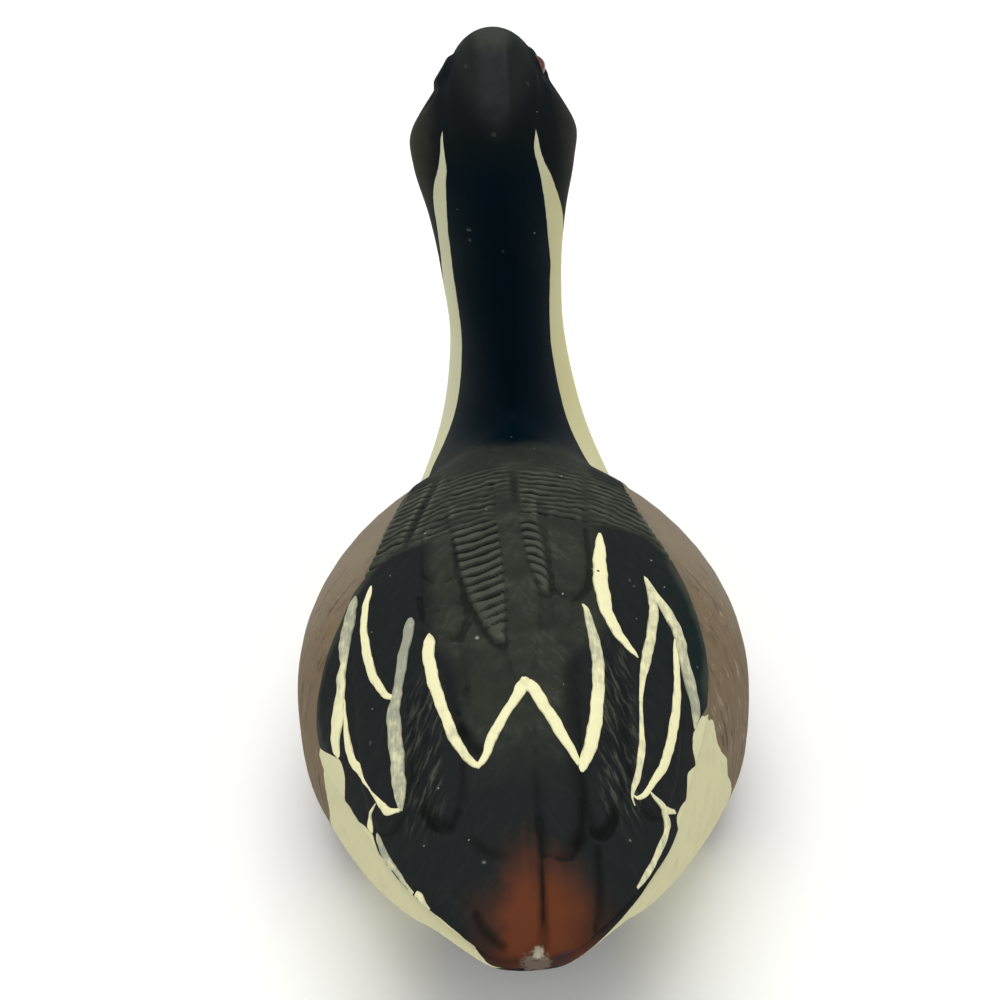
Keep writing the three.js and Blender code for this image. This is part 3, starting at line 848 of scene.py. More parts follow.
# %% A small language for shader maths
class Wire:
    """One output socket of a shader node. Arithmetic on it adds Math nodes."""

    def __init__(self, bench, socket):
        self.bench = bench
        self.socket = socket

    def maths(self, operation, first, second=0.0):
        return self.bench.node("ShaderNodeMath", {"operation": operation}, {0: first, 1: second})

    def __add__(self, other):
        return self.maths("ADD", self, other)

    def __radd__(self, other):
        return self.maths("ADD", other, self)

    def __sub__(self, other):
        return self.maths("SUBTRACT", self, other)

    def __rsub__(self, other):
        return self.maths("SUBTRACT", other, self)

    def __mul__(self, other):
        return self.maths("MULTIPLY", self, other)

    def __abs__(self):
        return self.maths("ABSOLUTE", self)


print("wires know", [name.strip("_") for name in vars(Wire) if name[2:5] in ("add", "sub", "mul")])

# %% [markdown]
# The Bench is the material that the wires lie on. Its one node method makes every kind
# of node, and short methods with a painter's names call it: a mark is read, noise is
# uneven, ease is a mask, blend lays one colour over another, and coat ends it.

# %% The bench that a paint is mixed on
class Bench:
    """A new material and the helpers that lay out its nodes."""

    def __init__(self, name):
        self.material = bpy.data.materials.new(name)
        self.material.use_nodes = True
        self.tree = self.material.node_tree
        self.tree.nodes.clear()

    def node(self, kind, settings, sockets, out=0):
        """A node of this kind, its settings first and then its sockets."""
        made = self.tree.nodes.new(kind)
        for key, value in settings.items():
            setattr(made, key, value)
        for key, value in sockets.items():
            if isinstance(value, Wire):
                self.tree.links.new(value.socket, made.inputs[key])
            else:
                made.inputs[key].default_value = value
        return Wire(self, made.outputs[out])

    def mark(self, name):
        """A point attribute of the mesh."""
        return self.node("ShaderNodeAttribute", {"attribute_name": name}, {}, "Fac")

    def place(self):
        """Object coordinates in millimetres, as a vector and as x, y and z."""
        metres = self.node("ShaderNodeTexCoord", {}, {}, "Object")
        vector = self.node("ShaderNodeVectorMath", {"operation": "SCALE"},
                           {0: metres, "Scale": 1 / MM})
        parts = [self.node("ShaderNodeSeparateXYZ", {}, {0: vector}, k) for k in range(3)]
        return vector, *parts

    def joined(self, x, y, z=0.0):
        """A place, or a vector, from its parts."""
        return self.node("ShaderNodeCombineXYZ", {}, {0: x, 1: y, 2: z})

    def noise(self, vector, scale, detail=2.0, rough=0.5, drift=0.0):
        """Smooth noise about 0.5, scale bumps to the millimetre."""
        return self.node("ShaderNodeTexNoise", {"noise_dimensions": "3D"},
                         {"Vector": vector, "Scale": scale, "Detail": detail,
                          "Roughness": rough, "Distortion": drift}, "Fac")

    def distance(self, vector, place):
        """Millimetres from a fixed place."""
        return self.node("ShaderNodeVectorMath", {"operation": "DISTANCE"},
                         {0: vector, 1: place}, "Value")

    def ease(self, value, low, high):
        """0 at low and 1 at high, smoothly."""
        return self.node("ShaderNodeMapRange", {"interpolation_type": "SMOOTHSTEP"},
                         {"Value": value, "From Min": low, "From Max": high})

    def blend(self, under, over, amount):
        """One colour laid over another by an amount from 0 to 1."""
        return self.node("ShaderNodeMix", {"data_type": "RGBA", "clamp_factor": True},
                         {0: amount, 6: under, 7: over}, 2)

    def coat(self, tint, rough, height, shine):
        """The paint's surface. Its relief is a height in millimetres."""
        bump = self.node("ShaderNodeBump", {}, {"Height": height, "Distance": MM})
        sockets = {"Base Color": tint, "Roughness": rough, "Normal": bump,
                   "Specular IOR Level": shine}
        surface = self.node("ShaderNodeBsdfPrincipled", {}, sockets)
        output = self.tree.nodes.new("ShaderNodeOutputMaterial")
        self.tree.links.new(surface.socket, output.inputs["Surface"])
        print(self.material.name, "has", len(self.tree.nodes), "nodes")
        return self.material


def colour(red, green, blue):
    """A screen colour, 0 to 255, as the linear colour that shaders work in."""
    share = np.array([red, green, blue]) / 255
    linear = np.where(share <= 0.04045, share / 12.92, ((share + 0.055) / 1.055) ** 2.4)
    return (*linear.tolist(), 1.0)


print("middle grey is", round(colour(128, 128, 128)[0], 3), "in linear light")

# %% [markdown]
# Every paint on the body follows the same few things: the place in millimetres, the
# borders and marks that the mesh carries, and three grades of unevenness. The painter's
# hand wanders over a few millimetres, fine blots are half a millimetre across, and the
# grain of the casting is finer still. One object holds them, and each paint reads it.

# %% What the body's paints read
class BodyWires:
    """The place, every mark of the mesh under its own name, and three noises about 0."""

    def __init__(self, bench):
        self.vector, self.x, self.y, self.z = bench.place()
        for name in body_marks:
            setattr(self, name, bench.mark(name))
        self.side = abs(self.x - SEAM_X)
        self.hand = bench.noise(self.vector, 0.35, 3.0, 0.6) - 0.5
        self.fine = bench.noise(self.vector, 2.2, 2.0, 0.6) - 0.5
        self.grain = bench.noise(self.vector, 7.0, 2.0, 0.7) - 0.5
        self.shake = self.hand * 0.9 + self.fine * 0.35


print("the body's paints read", len(body_marks), "marks")

# %% [markdown]
# The sides are brown, paler towards the shoulder, and streaked backwards and down.
# An image of the streaks would stretch round the flank, so they are noise instead, read
# in two turned coordinates: fine across a streak and slow along it. The barbs flicked
# over them are thin pale lines, where that noise passes its middle value.

# %% Brown sides
FLANK_BROWN = colour(116, 101, 81)
FLANK_SHADE = colour(84, 70, 55)
FLANK_PALE = colour(134, 124, 108)
FLANK_BARB = colour(172, 156, 132)
STREAK_BACK = 0.50
STREAK_DOWN = 0.87


def brown_sides(bench, body):
    """The sides' colour, then all the thin lines, then only the barbs that are painted.
    A line is where |noise - 0.5| is near 0; barbs come in patches, below the wing."""
    across = body.y * STREAK_DOWN - body.flank_down * STREAK_BACK
    along = body.y * STREAK_BACK + body.flank_down * STREAK_DOWN
    waved = across + body.hand * 1.8
    strands = bench.noise(bench.joined(waved * 2.0, along * 0.17), 1.0, 1.0)
    lines = bench.ease(abs(strands - 0.5), 0.035, 0.0)
    patches = bench.noise(bench.joined(across * 0.4, along * 0.3), 1.0, 1.0)
    below_wing = bench.ease(body.flank_down, 1.0, 5.0) * bench.ease(body.y, 4.0, 16.0)
    barbs = lines * bench.ease(patches, 0.44, 0.60) * below_wing
    streaks = bench.noise(bench.joined(waved * 0.8, along * 0.1, 7.0), 1.0, 2.0) - 0.5
    shaded = bench.ease(streaks + body.hand * 0.5, 0.0, 0.3)
    brown = bench.blend(FLANK_BROWN, FLANK_SHADE, shaded)
    pale = bench.ease(body.y + body.hand * 8.0, 22.0, 4.0) * 0.6
    brown = bench.blend(brown, FLANK_PALE, pale)
    strength = 0.75 - bench.ease(body.x, -2.0, 2.0) * 0.3
    return bench.blend(brown, FLANK_BARB, barbs * strength), lines, barbs


print("streaks run", round(np.degrees(np.arctan2(STREAK_DOWN, STREAK_BACK)).item()), "degrees down")

# %% [markdown]
# The breast, rump and neck lines are a warm cream, laid thickly. It is greyer up the
# neck and yellower on the neck's right, and handling has left grime in it: soft
# clouds and a few sharp specks.

# %% Cream breast, rump and neck lines
CREAM = colour(206, 203, 163)
NECK_CREAM = colour(198, 198, 166)
NECK_YELLOW = colour(198, 193, 146)
CREAM_GRIME = colour(140, 131, 100)


def cream_coat(bench, body):
    """Cream that changes with the rib place, under clouds and specks of grime."""
    cream = bench.blend(CREAM, NECK_CREAM, bench.ease(body.rib_place, 8.0, 12.0))
    on_right = bench.ease(body.x + body.hand * 2.0, -5.5, -10.5)
    yellow = on_right * bench.ease(body.rib_place, 9.0, 11.5)
    cream = bench.blend(cream, NECK_YELLOW, yellow)
    clouds = bench.ease(bench.noise(body.vector, 0.9, 4.0, 0.7), 0.60, 0.78)
    specks = bench.ease(bench.noise(body.vector, 3.1, 1.0), 0.76, 0.82)
    return bench.blend(cream, CREAM_GRIME, clouds * 0.30 + specks * 0.7)


print("the cream is", round(CREAM[1] / FLANK_BROWN[1], 1), "times as light as the sides")

# %% [markdown]
# The hood is black in the middle and browner on the cheeks. The crown is painted lighter than the
# hood, as painted light from above, with a paler patch of painted sheen that has one straight edge,
# and the very top carries a grey painted highlight.

# %% Dark hood
HOOD_BLACK = colour(18, 23, 25)
HOOD_BROWN = colour(44, 44, 37)
CROWN_DARK = colour(30, 35, 33)
CROWN_SHEEN = colour(42, 44, 46)
CROWN_TOP_HIGHLIGHT = colour(62, 64, 56)


def hood_coat(bench, body):
    """Black that turns brown sideways, with the crown blended in above: painted lighter as light
    from above, with a painted sheen and a painted highlight on its top.
    """
    cheeks = bench.ease(body.side + body.hand * 3.0, 8.5, 13.0)
    hood = bench.blend(HOOD_BLACK, HOOD_BROWN, cheeks)
    # Painted sheen: a paler patch on the crown with one straight edge.
    straight_edge = bench.ease(body.x + body.fine * 0.6, -2.5, -2.0)
    soft_edge = bench.ease(body.x + body.hand * 3.0, 3.2, 1.4)
    upper = bench.ease(body.z + body.hand * 4.0, 99.5, 102.5)
    crown_sheen = straight_edge * soft_edge * upper * (0.75 + body.hand * 1.6)
    crown = bench.blend(CROWN_DARK, CROWN_SHEEN, crown_sheen)
    # Painted highlight: the very top of the crown, which faces the light, is lighter.
    top = bench.ease(body.z + body.hand * 2.0, 107.6, 109.4) * 0.6
    crown = bench.blend(crown, CROWN_TOP_HIGHLIGHT, top)
    # The crown is painted lighter than the hood, as painted light from above.
    on_crown = bench.ease(body.side + (106.0 - body.z) * 0.8, 9.0, 4.0)
    return bench.blend(hood, crown, on_crown)


print("the crown's top is", round(CROWN_TOP_HIGHLIGHT[1] / HOOD_BLACK[1], 1), "times as light as the hood")

# %% [markdown]
# The back is a soft charcoal, olive down the middle and a little teal on the right wing. It was
# then dry-brushed, and what stands up on the combed carving is lightened further as painted
# highlight, while the grooves are painted darker than the charcoal as painted shade.
# The tertials have a vane of short strokes that lean outwards from the seam.

# %% Charcoal back
CHARCOAL = colour(31, 34, 34)
TEAL_BLACK = colour(21, 33, 34)
OLIVE = colour(47, 51, 43)
DRY_BRUSH_AND_HIGHLIGHT = colour(94, 97, 86)
GROOVE = colour(12, 14, 14)
HAIR_LEAN = 1.3
VANE_LEAN = 2.5


def leaning(lean, side, y):
    """Unit coordinates across and along strokes that run lean times as far back as
    they run outwards, over sqrt(1 + lean^2)."""
    size = 1 / np.hypot(1, lean)
    return (side * lean - y) * size, (side + y * lean) * size


def back_coat(bench, body):
    """The back's colour, its brush hairs and its vanes. What is lightened is the sum of painted
    highlight on raised ridges where it is combed, worn olive, hairs and vanes, and the hollows take
    painted shade."""
    across, along = leaning(HAIR_LEAN, body.side, body.y)
    hair_at = bench.joined(body.hand * 3.0 - across * 1.2, along * 0.30, body.x * 0.12)
    hair = bench.noise(hair_at, 1.0, 3.0, 0.6, 0.6)
    brushed = bench.ease(hair, 0.45, 0.72)
    across, along = leaning(VANE_LEAN, body.side, body.y)
    vane_at = bench.joined((across + body.hand * 1.2) * 1.5, along * 0.24)
    vanes = bench.noise(vane_at, 1.0, 2.0)
    vane = bench.ease(vanes, 0.48, 0.66) * body.barbed
    between = bench.ease(vanes, 0.50, 0.36) * body.barbed
    on_cape = bench.ease(body.y, 10.0, 6.0)
    # Painted highlight: the combed ridges are lighter, more so on the cape.
    ridge_light = bench.ease(body.ridge, 0.01, 0.15) * body.combed * (0.38 + on_cape * 0.24)
    teal = bench.ease(body.hand - body.x * 0.05, 1.0, 1.35) * bench.ease(body.y, 44.0, 36.0)
    dark = bench.blend(CHARCOAL, TEAL_BLACK, teal)
    dark = bench.blend(dark, OLIVE, body.olive * (0.75 + body.hand * 0.9))
    worn = bench.ease(bench.noise(body.vector, 0.13, 3.0, 0.6), 0.44, 0.62)
    worn_olive = body.olive * worn * (0.06 + brushed * 0.16)
    dark = bench.blend(dark, DRY_BRUSH_AND_HIGHLIGHT, ridge_light + worn_olive + brushed * 0.03 + vane * 0.42)
    dark = bench.blend(dark, GROOVE, between * 0.35)
    # Painted shade: the hollows of the carving are darker than the charcoal.
    groove_shade = bench.ease(body.ridge, -0.02, -0.22) * (0.45 + body.combed * 0.40)
    return bench.blend(dark, GROOVE, groove_shade), hair, vane


print("dry brush is", round(DRY_BRUSH_AND_HIGHLIGHT[1] / CHARCOAL[1], 1), "times as light as the charcoal")

# %% [markdown]
# A patch of rust glows on the tail. It was rubbed on while the black was still wet,
# so it fades forwards in uneven columns and sideways in a thin halo, and it misses
# the grooves. The tail's rim is a cold blue-grey on the right.

# %% Rust on the tail
RUST = colour(94, 51, 32)
RIM_BLUE = colour(38, 46, 54)
PAINTED_SHADOW_DARK = colour(17, 18, 17)
RUST_MIDDLE = -1.3
HALO_MIDDLE = -0.7


def tail_coat(bench, body, dark):
    """Rust, the rim and the painted shadows, over the back's colour."""
    wave = bench.noise(body.vector, 0.25, 3.0) * 4.0 + body.hand * 3.0
    width = bench.ease(abs(body.x - RUST_MIDDLE) + wave, 9.5, 4.5)
    columns = bench.noise(bench.joined(body.x * 0.5, body.y * 0.07, 3.0), 1.0, 1.0) - 0.5
    start = body.y + body.hand * 5.0 + width * 2.0 + columns * 9.0
    halo = bench.ease(abs(body.x - HALO_MIDDLE) + wave, 13.0, 8.0) * bench.ease(body.y, 71.0, 78.0)
    duller_right = 0.92 - bench.ease(body.x, -1.5, -4.5) * 0.28
    rust = width * bench.ease(start, 67.5, 79.0) * duller_right + halo * 0.25
    rust = rust * bench.ease(body.ridge, -0.30, -0.02) * bench.ease(body.y, 83.2, 81.6)
    dark = bench.blend(dark, RUST, rust)
    rim = bench.ease(body.y + body.side * 0.35, 82.6, 83.4) * bench.ease(body.x, 1.5, -1.5)
    dark = bench.blend(dark, RIM_BLUE, rim * 0.7)
    # painted shadows darken the hollows over the tail's paint
    return bench.blend(dark, PAINTED_SHADOW_DARK, body.wash)


print("the rust has", round(RUST[0] / RUST[2], 1), "times as much red as blue")

# %% [markdown]
# A bird that has stood on a shelf has gathered specks. Most are dust, one in a
# few square millimetres, and noise with a high threshold scatters them. The larger bits
# of fluff and the small chips are the ones that the eye remembers, so they have places.

# %% Dust, fluff and small chips
DUST = colour(170, 170, 165)
FLECKS = (
    # place, radius, strength
    ((6.1, 34.6, 48.6), 0.45, 0.7), ((-1.6, 5.0, 50.9), 0.30, 0.5),
    ((0.3, -23.6, 98.5), 0.55, 0.06), ((-5.2, -29.4, 103.9), 0.50, 0.04),
    ((4.1, -31.7, 106.3), 0.55, 0.04), ((4.9, -26.3, 81.1), 0.50, 0.14),
    ((4.8, -27.0, 79.0), 0.40, 0.10), ((-0.4, -26.8, 76.7), 0.40, 0.06),
    ((21.6, 45.6, 39.4), 0.45, 0.10), ((-16.7, 22.3, 47.9), 0.35, 0.12),
    ((-17.2, 23.4, 47.6), 0.35, 0.12), ((6.1, 70.1, 40.6), 0.30, 0.3),
    ((-13.2, 65.7, 38.8), 0.25, 0.3),
)


def dust_on(bench, body):
    """How dusty each point is: scattered specks, plus a ragged spot for each fleck."""
    dust = bench.ease(bench.noise(body.vector, 1.3, 0.0), 0.875, 0.90) * 0.6
    ragged = body.grain * 0.5 + body.fine * 0.5
    for place, radius, strength in FLECKS:
        away = bench.distance(body.vector, place) + ragged
        dust = dust + bench.ease(away, radius, radius * 0.3) * strength
    return dust


print(len(FLECKS), "flecks on the dark paint")

# %% [markdown]
# The nape is nearly black and a little glossy, partly its own black paint and partly painted shade,
# darker than the back because it faces away from the light, and it melts into the back. The hood
# melts into the nape in turn. Last come the dust and a painted highlight along the edges of the
# wings.

# %% All that is dark
# Painted shade: the nape's black is darker than the back's charcoal, as the nape faces away from
# the light.
NAPE_SHADED_BLACK = colour(3, 18, 25)
WING_EDGE_HIGHLIGHT = colour(78, 80, 70)


def dark_coat(bench, body, hood):
    """The back, tail, nape and hood as one colour, with the masks that the gloss and
    the relief need."""
    dark, hair, vane = back_coat(bench, body)
    dark = tail_coat(bench, body, dark)
    nape = bench.ease(body.nape_edge + body.hand * 2.4, -3.6, 1.2)
    dark = bench.blend(dark, NAPE_SHADED_BLACK, nape)
    dark = bench.blend(dark, hood, bench.ease(body.rib_place + body.hand * 0.6, 14.6, 15.9))
    dark = bench.blend(dark, DUST, dust_on(bench, body))
    # Painted highlight along the edges of the folded wings.
    edge_highlight = bench.ease(body.dark_edge + body.hand * 1.5, 2.2, 0.2)
    edge_highlight = edge_highlight * bench.ease(body.y, 12.0, 18.0) * bench.ease(body.y, 40.0, 33.0)
    return bench.blend(dark, WING_EDGE_HIGHLIGHT, edge_highlight * 0.5), nape, hair, vane


print("the nape's black is", round(NAPE_SHADED_BLACK[1] / CHARCOAL[1], 1), "times as light as the back's")

# %% [markdown]
# The bill is blue-grey with a black ridge and tip. At the tail's end the casting has
# lost a crumb: the bare resin is a dull pinkish grey with one bright, fresh spot,
# and both are balls of colour about a place, with ragged edges.

# %% Bill and bare resin
BILL_BLUE = colour(100, 112, 122)
BILL_BLACK = colour(20, 21, 22)
CHIP_PALE = colour(112, 99, 88)
CHIP_BRIGHT = colour(196, 192, 172)
CHIP_MIDDLE = (CHIP_PLACE[0], CHIP_PLACE[1] + 0.6, 35.2)
CHIP_SPOT = (CHIP_PLACE[0] - 0.1, CHIP_PLACE[1] - 0.9, 36.0)


def beak_coat(bench, body):
    """Blue sides, then black within 2 to 2.6 mm of the middle and at the tip."""
    ridge = bench.ease(abs(body.x) + body.hand, 2.6, 2.0)
    beak = bench.blend(BILL_BLUE, BILL_BLACK, ridge)
    return bench.blend(beak, BILL_BLACK, bench.ease(body.y, -72.5, -74.0))


def bare_resin(bench, body, finish):
    """The chip's dull and bright colours over the finished paint."""
    away = bench.distance(body.vector, CHIP_MIDDLE) + body.fine * 1.6 + body.hand * 2.0
    finish = bench.blend(finish, CHIP_PALE, bench.ease(away, 2.3, 1.4))
    away = bench.distance(body.vector, CHIP_SPOT) + body.fine * 1.2 + body.hand
    return bench.blend(finish, CHIP_BRIGHT, bench.ease(away, 1.1, 0.5) * 0.6)


print("the bare resin is at", CHIP_MIDDLE, "mm")

# %% [markdown]
# The paints are laid over each other in the painter's order, the light ones first.
# Each border's distance becomes a mask that runs from 0 to 1 in a tenth of a
# millimetre, and a shake of the hand is added to the distance first,
# so that no edge is ruled. The breast's edge is softer, because it was stippled.

# %% The painted body
def duck_paint():
    """Sides, cream, undertail, hood, dark paint, bill and chip, one over another."""
    bench = Bench("hand_painted_resin")
    body = BodyWires(bench)
    brown, lines, barbs = brown_sides(bench, body)
    hood = hood_coat(bench, body)
    dark, nape, hair, vane = dark_coat(bench, body, hood)

    on_breast = bench.ease(body.breast_edge + body.hand * 5.0 + lines * 0.5, -0.5, 0.5)
    on_rump = bench.ease(body.rump_edge + body.shake, -0.06, 0.06)
    on_cream = on_breast + on_rump
    on_under = bench.ease(body.under_edge + body.shake, -0.1, 0.1)
    on_hood = bench.ease(body.hood_edge + body.shake * 0.4, -0.06, 0.06)
    on_dark = bench.ease(body.dark_edge + body.shake * 0.35, -0.05, 0.05)
    on_bill = bench.ease(body.bill_edge + body.shake * 0.3, -0.05, 0.05)
    finish = bench.blend(brown, cream_coat(bench, body), on_cream)
    finish = bench.blend(finish, CHARCOAL, on_under)
    finish = bench.blend(finish, hood, on_hood)
    finish = bench.blend(finish, dark, on_dark)
    finish = bench.blend(finish, beak_coat(bench, body), on_bill)
    finish = bare_resin(bench, body, finish)

    gloss = nape * on_dark * bench.ease(body.rib_place, 15.5, 15.1)
    rough = 0.62 - gloss * 0.16 - on_bill * 0.2 + body.fine * 0.12
    thick_cream = on_cream * (1.0 - on_dark) * (1.0 - on_hood)
    brush_hairs = on_dark * (1.0 - nape) * hair * body.olive
    height = (thick_cream * 0.10 + brush_hairs * 0.12 + body.grain * 0.03 + vane * 0.14
              + barbs * (1.0 - on_dark) * 0.05)
    return bench.coat(finish, rough, height, 0.02)


painted_duck.data.materials.append(duck_paint())
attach(painted_duck, "root")
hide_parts("duck_decoy")

# %% [markdown]
# The wing feathers are drawn with a loaded brush. Each stroke is a bead of thick
# cream paint that stands on the carving, fat where the brush was full, and thin and
# grey where it ran dry. A stroke is a path in plan with a width at each point.

# %% Brush strokes as (x, y, width) in plan, with the paint's load at root and tip
STROKES = {
    "left wing edge": (0.30, 0.75, (
        (23.8, 18.3, 0.4), (24.1, 19.6, 1.5), (24.6, 22.5, 2.1), (25.0, 24.8, 2.2),
        (25.3, 27.0, 1.7), (25.3, 28.7, 1.1), (25.7, 30.2, 1.6), (25.7, 31.4, 1.4),
        (26.0, 34.0, 1.7), (26.3, 37.0, 2.1), (26.4, 39.3, 1.2), (26.0, 41.5, 0.3))),
    "left wing feather": (0.85, 0.70, (
        (25.2, 34.5, 0.2), (24.9, 38.5, 0.6), (24.5, 41.7, 0.9), (23.7, 44.8, 0.75),
        (22.7, 47.0, 0.8), (21.7, 49.5, 0.35), (20.6, 52.0, 0.15), (19.6, 54.1, 0.4),
        (18.7, 56.0, 0.7), (17.8, 57.4, 0.8), (16.5, 58.2, 0.5))),
    "left wing tie": (0.60, 0.80, (
        (19.7, 54.6, 0.2), (20.3, 54.9, 0.6), (20.9, 55.2, 1.1), (20.9, 56.0, 0.6),
        (20.7, 56.9, 0.15))),
    "left rump line": (0.35, 0.50, (
        (20.0, 57.9, 0.2), (19.7, 59.0, 0.5), (18.8, 61.8, 0.6), (17.7, 64.7, 0.9),
        (16.2, 67.9, 0.6), (14.9, 70.2, 0.2))),
    "left rump drop": (0.55, 0.50, (
        (14.5, 70.5, 0.4), (14.2, 71.3, 0.9), (13.6, 72.5, 0.5), (12.8, 73.7, 0.15))),
    "left inner feather": (0.95, 0.70, (
        (21.4, 18.0, 0.3), (21.7, 19.8, 0.9), (22.2, 22.8, 1.05), (22.2, 26.2, 1.05),
        (21.7, 30.0, 1.25), (20.9, 33.9, 1.15), (19.8, 37.0, 1.0), (18.6, 39.5, 0.8),
        (17.7, 40.4, 0.8))),
    "left tertial line": (0.22, 0.42, (
        (15.4, 27.7, 0.6), (15.5, 28.9, 1.6), (15.9, 31.5, 1.55), (16.4, 34.1, 1.5),
        (16.8, 38.0, 1.25), (17.2, 40.6, 1.5), (17.5, 43.5, 1.9), (17.2, 47.3, 1.95),
        (16.8, 51.2, 1.85), (16.6, 54.6, 1.7), (16.4, 56.8, 1.0), (16.4, 58.3, 0.2))),
    "left back line": (1.00, 0.60, (
        (12.7, 32.0, 0.6), (12.7, 33.3, 1.75), (12.7, 35.8, 1.7), (12.2, 39.6, 1.7),
        (11.4, 43.3, 1.55), (10.4, 47.0, 1.4), (9.3, 50.8, 1.45), (8.1, 53.4, 1.15),
        (6.9, 55.2, 1.0), (6.0, 56.0, 0.7))),
    "middle left line": (0.85, 1.00, (
        (7.0, 55.5, 0.5), (6.0, 55.4, 0.9), (5.1, 53.9, 1.2), (4.3, 51.6, 1.5),
        (3.0, 49.2, 1.4), (1.7, 46.9, 1.35), (0.7, 45.2, 1.6), (0.0, 43.9, 1.9),
        (-0.7, 42.9, 1.6))),
    "middle right line": (1.00, 1.00, (
        (0.1, 43.1, 1.4), (-0.9, 43.5, 2.0), (-1.8, 44.9, 1.8), (-2.7, 46.8, 1.8),
        (-3.8, 49.0, 1.75), (-4.9, 51.5, 1.6), (-6.1, 54.1, 1.2), (-7.0, 56.0, 0.8))),
    "right back line": (0.45, 0.95, (
        (-9.2, 28.5, 0.35), (-9.7, 29.9, 0.95), (-10.1, 33.1, 1.4), (-10.5, 36.8, 1.7),
        (-10.5, 40.5, 1.7), (-10.2, 43.8, 1.7), (-9.7, 47.5, 1.75), (-9.0, 51.2, 1.8),
        (-8.2, 53.9, 1.65), (-7.4, 56.2, 1.2), (-7.2, 57.0, 0.4))),
    "right shoulder line": (1.00, 0.85, (
        (-12.7, 12.9, 0.4), (-12.6, 14.9, 1.3), (-12.3, 18.7, 1.95), (-12.1, 22.5, 2.2),
        (-12.2, 26.0, 2.2), (-12.6, 29.4, 1.9), (-13.6, 32.4, 1.7), (-15.0, 34.7, 1.2),
        (-16.2, 36.5, 0.2))),
    "right inner feather": (0.55, 0.60, (
        (-18.6, 20.7, 0.2), (-19.1, 22.8, 1.0), (-19.4, 25.6, 1.35), (-19.1, 28.5, 1.35),
        (-18.2, 32.9, 1.35), (-17.3, 36.4, 1.35), (-16.5, 39.9, 0.85), (-15.9, 43.6, 0.5),
        (-15.6, 47.4, 0.55), (-15.3, 51.0, 0.9), (-14.6, 54.6, 0.8), (-13.9, 57.4, 0.55),
        (-13.6, 59.0, 0.3), (-13.8, 60.1, 0.15))),
    "right wing edge": (0.55, 0.35, (
        (-18.8, 20.9, 0.3), (-19.7, 23.4, 1.2), (-20.6, 25.0, 1.7), (-21.7, 26.9, 1.85),
        (-22.6, 28.9, 1.9), (-22.9, 31.6, 1.9), (-23.2, 34.1, 2.0), (-23.7, 36.4, 1.9),
        (-24.0, 39.0, 1.5), (-23.9, 41.0, 0.9), (-23.6, 42.6, 0.2))),
    "right wing feather": (0.90, 0.75, (
        (-22.0, 30.4, 0.3), (-21.8, 33.2, 0.8), (-21.6, 36.6, 0.9), (-21.3, 39.5, 1.1),
        (-20.7, 42.8, 1.15), (-19.9, 46.1, 1.15), (-18.9, 49.7, 1.05), (-17.7, 52.9, 0.95),
        (-16.1, 56.0, 0.7), (-15.0, 58.1, 0.6), (-14.3, 58.8, 0.55), (-13.6, 58.5, 0.15))),
    "right rump line": (0.60, 0.55, (
        (-15.7, 57.3, 0.2), (-16.3, 57.9, 0.8), (-17.2, 58.4, 1.2), (-18.0, 59.1, 1.1),
        (-17.8, 60.8, 0.6), (-16.8, 63.5, 0.6), (-15.6, 66.4, 0.5), (-14.3, 69.2, 0.5),
        (-13.0, 71.6, 0.2))),
    "right rump tie": (0.60, 0.60, (
        (-17.2, 58.8, 0.3), (-18.1, 58.0, 0.7), (-19.3, 57.0, 0.4))),
}
print(len(STROKES), "brush strokes")

# %% [markdown]
# A stroke is given in plan, but the paint lies on the carving. For every point of its
# section, the place on the skin is found again, by walking along the ribs until
# the point below has the right y. So the bead drapes over each carved rim.

# %% The place on the skin below a plan point
RIBS_OF_BACK = 12
WALK_TIMES = 8


def on_back(x, y):
    """The rib place and angle of the plain skin above a plan point. At a place, x gives
    the angle, |sin| = (|x - sway| / half)^(crown / 2); the place is then moved by what
    is missing in y over the slope of y, a few times."""
    du = 0.02
    back_y = RIBS[:RIBS_OF_BACK, 0]
    u = np.interp(-y, -back_y, np.arange(RIBS_OF_BACK))
    for _ in range(WALK_TIMES):
        rib = rib_at(u)
        out = np.clip(np.abs(x - rib["sway"]) / rib["half"], 0, 0.999)
        angle = np.degrees(np.arcsin(out ** (rib["crown"] / 2))) * np.sign(x - rib["sway"])
        here = plain_skin(u, angle)[..., 1]
        slope = (plain_skin(u + du, angle)[..., 1] - here) / du
        u = np.clip(u + (y - here) / slope, 0, RIBS_OF_BACK - 1)
    return u, angle


print("the seam at y = 20 mm is at rib", on_back(np.array(SEAM_X), np.array(20.0))[0].round(2))

# %% [markdown]
# Across the stroke the bead is a low arch with its feet sunk in the skin, so that no
# gap shows below it. Its edges waver a little and its height breathes along
# the run, as thick paint does when the brush drags and lifts.

# %% Beads of paint
STROKE_STEP = 0.2
STROKE_SIDES = 14
THINNEST = 0.12
BEAD_HEIGHT = 0.10
BEAD_PER_WIDTH = 0.09
PAINT_SUNK = 0.12
ARCH_FOOT = -0.02


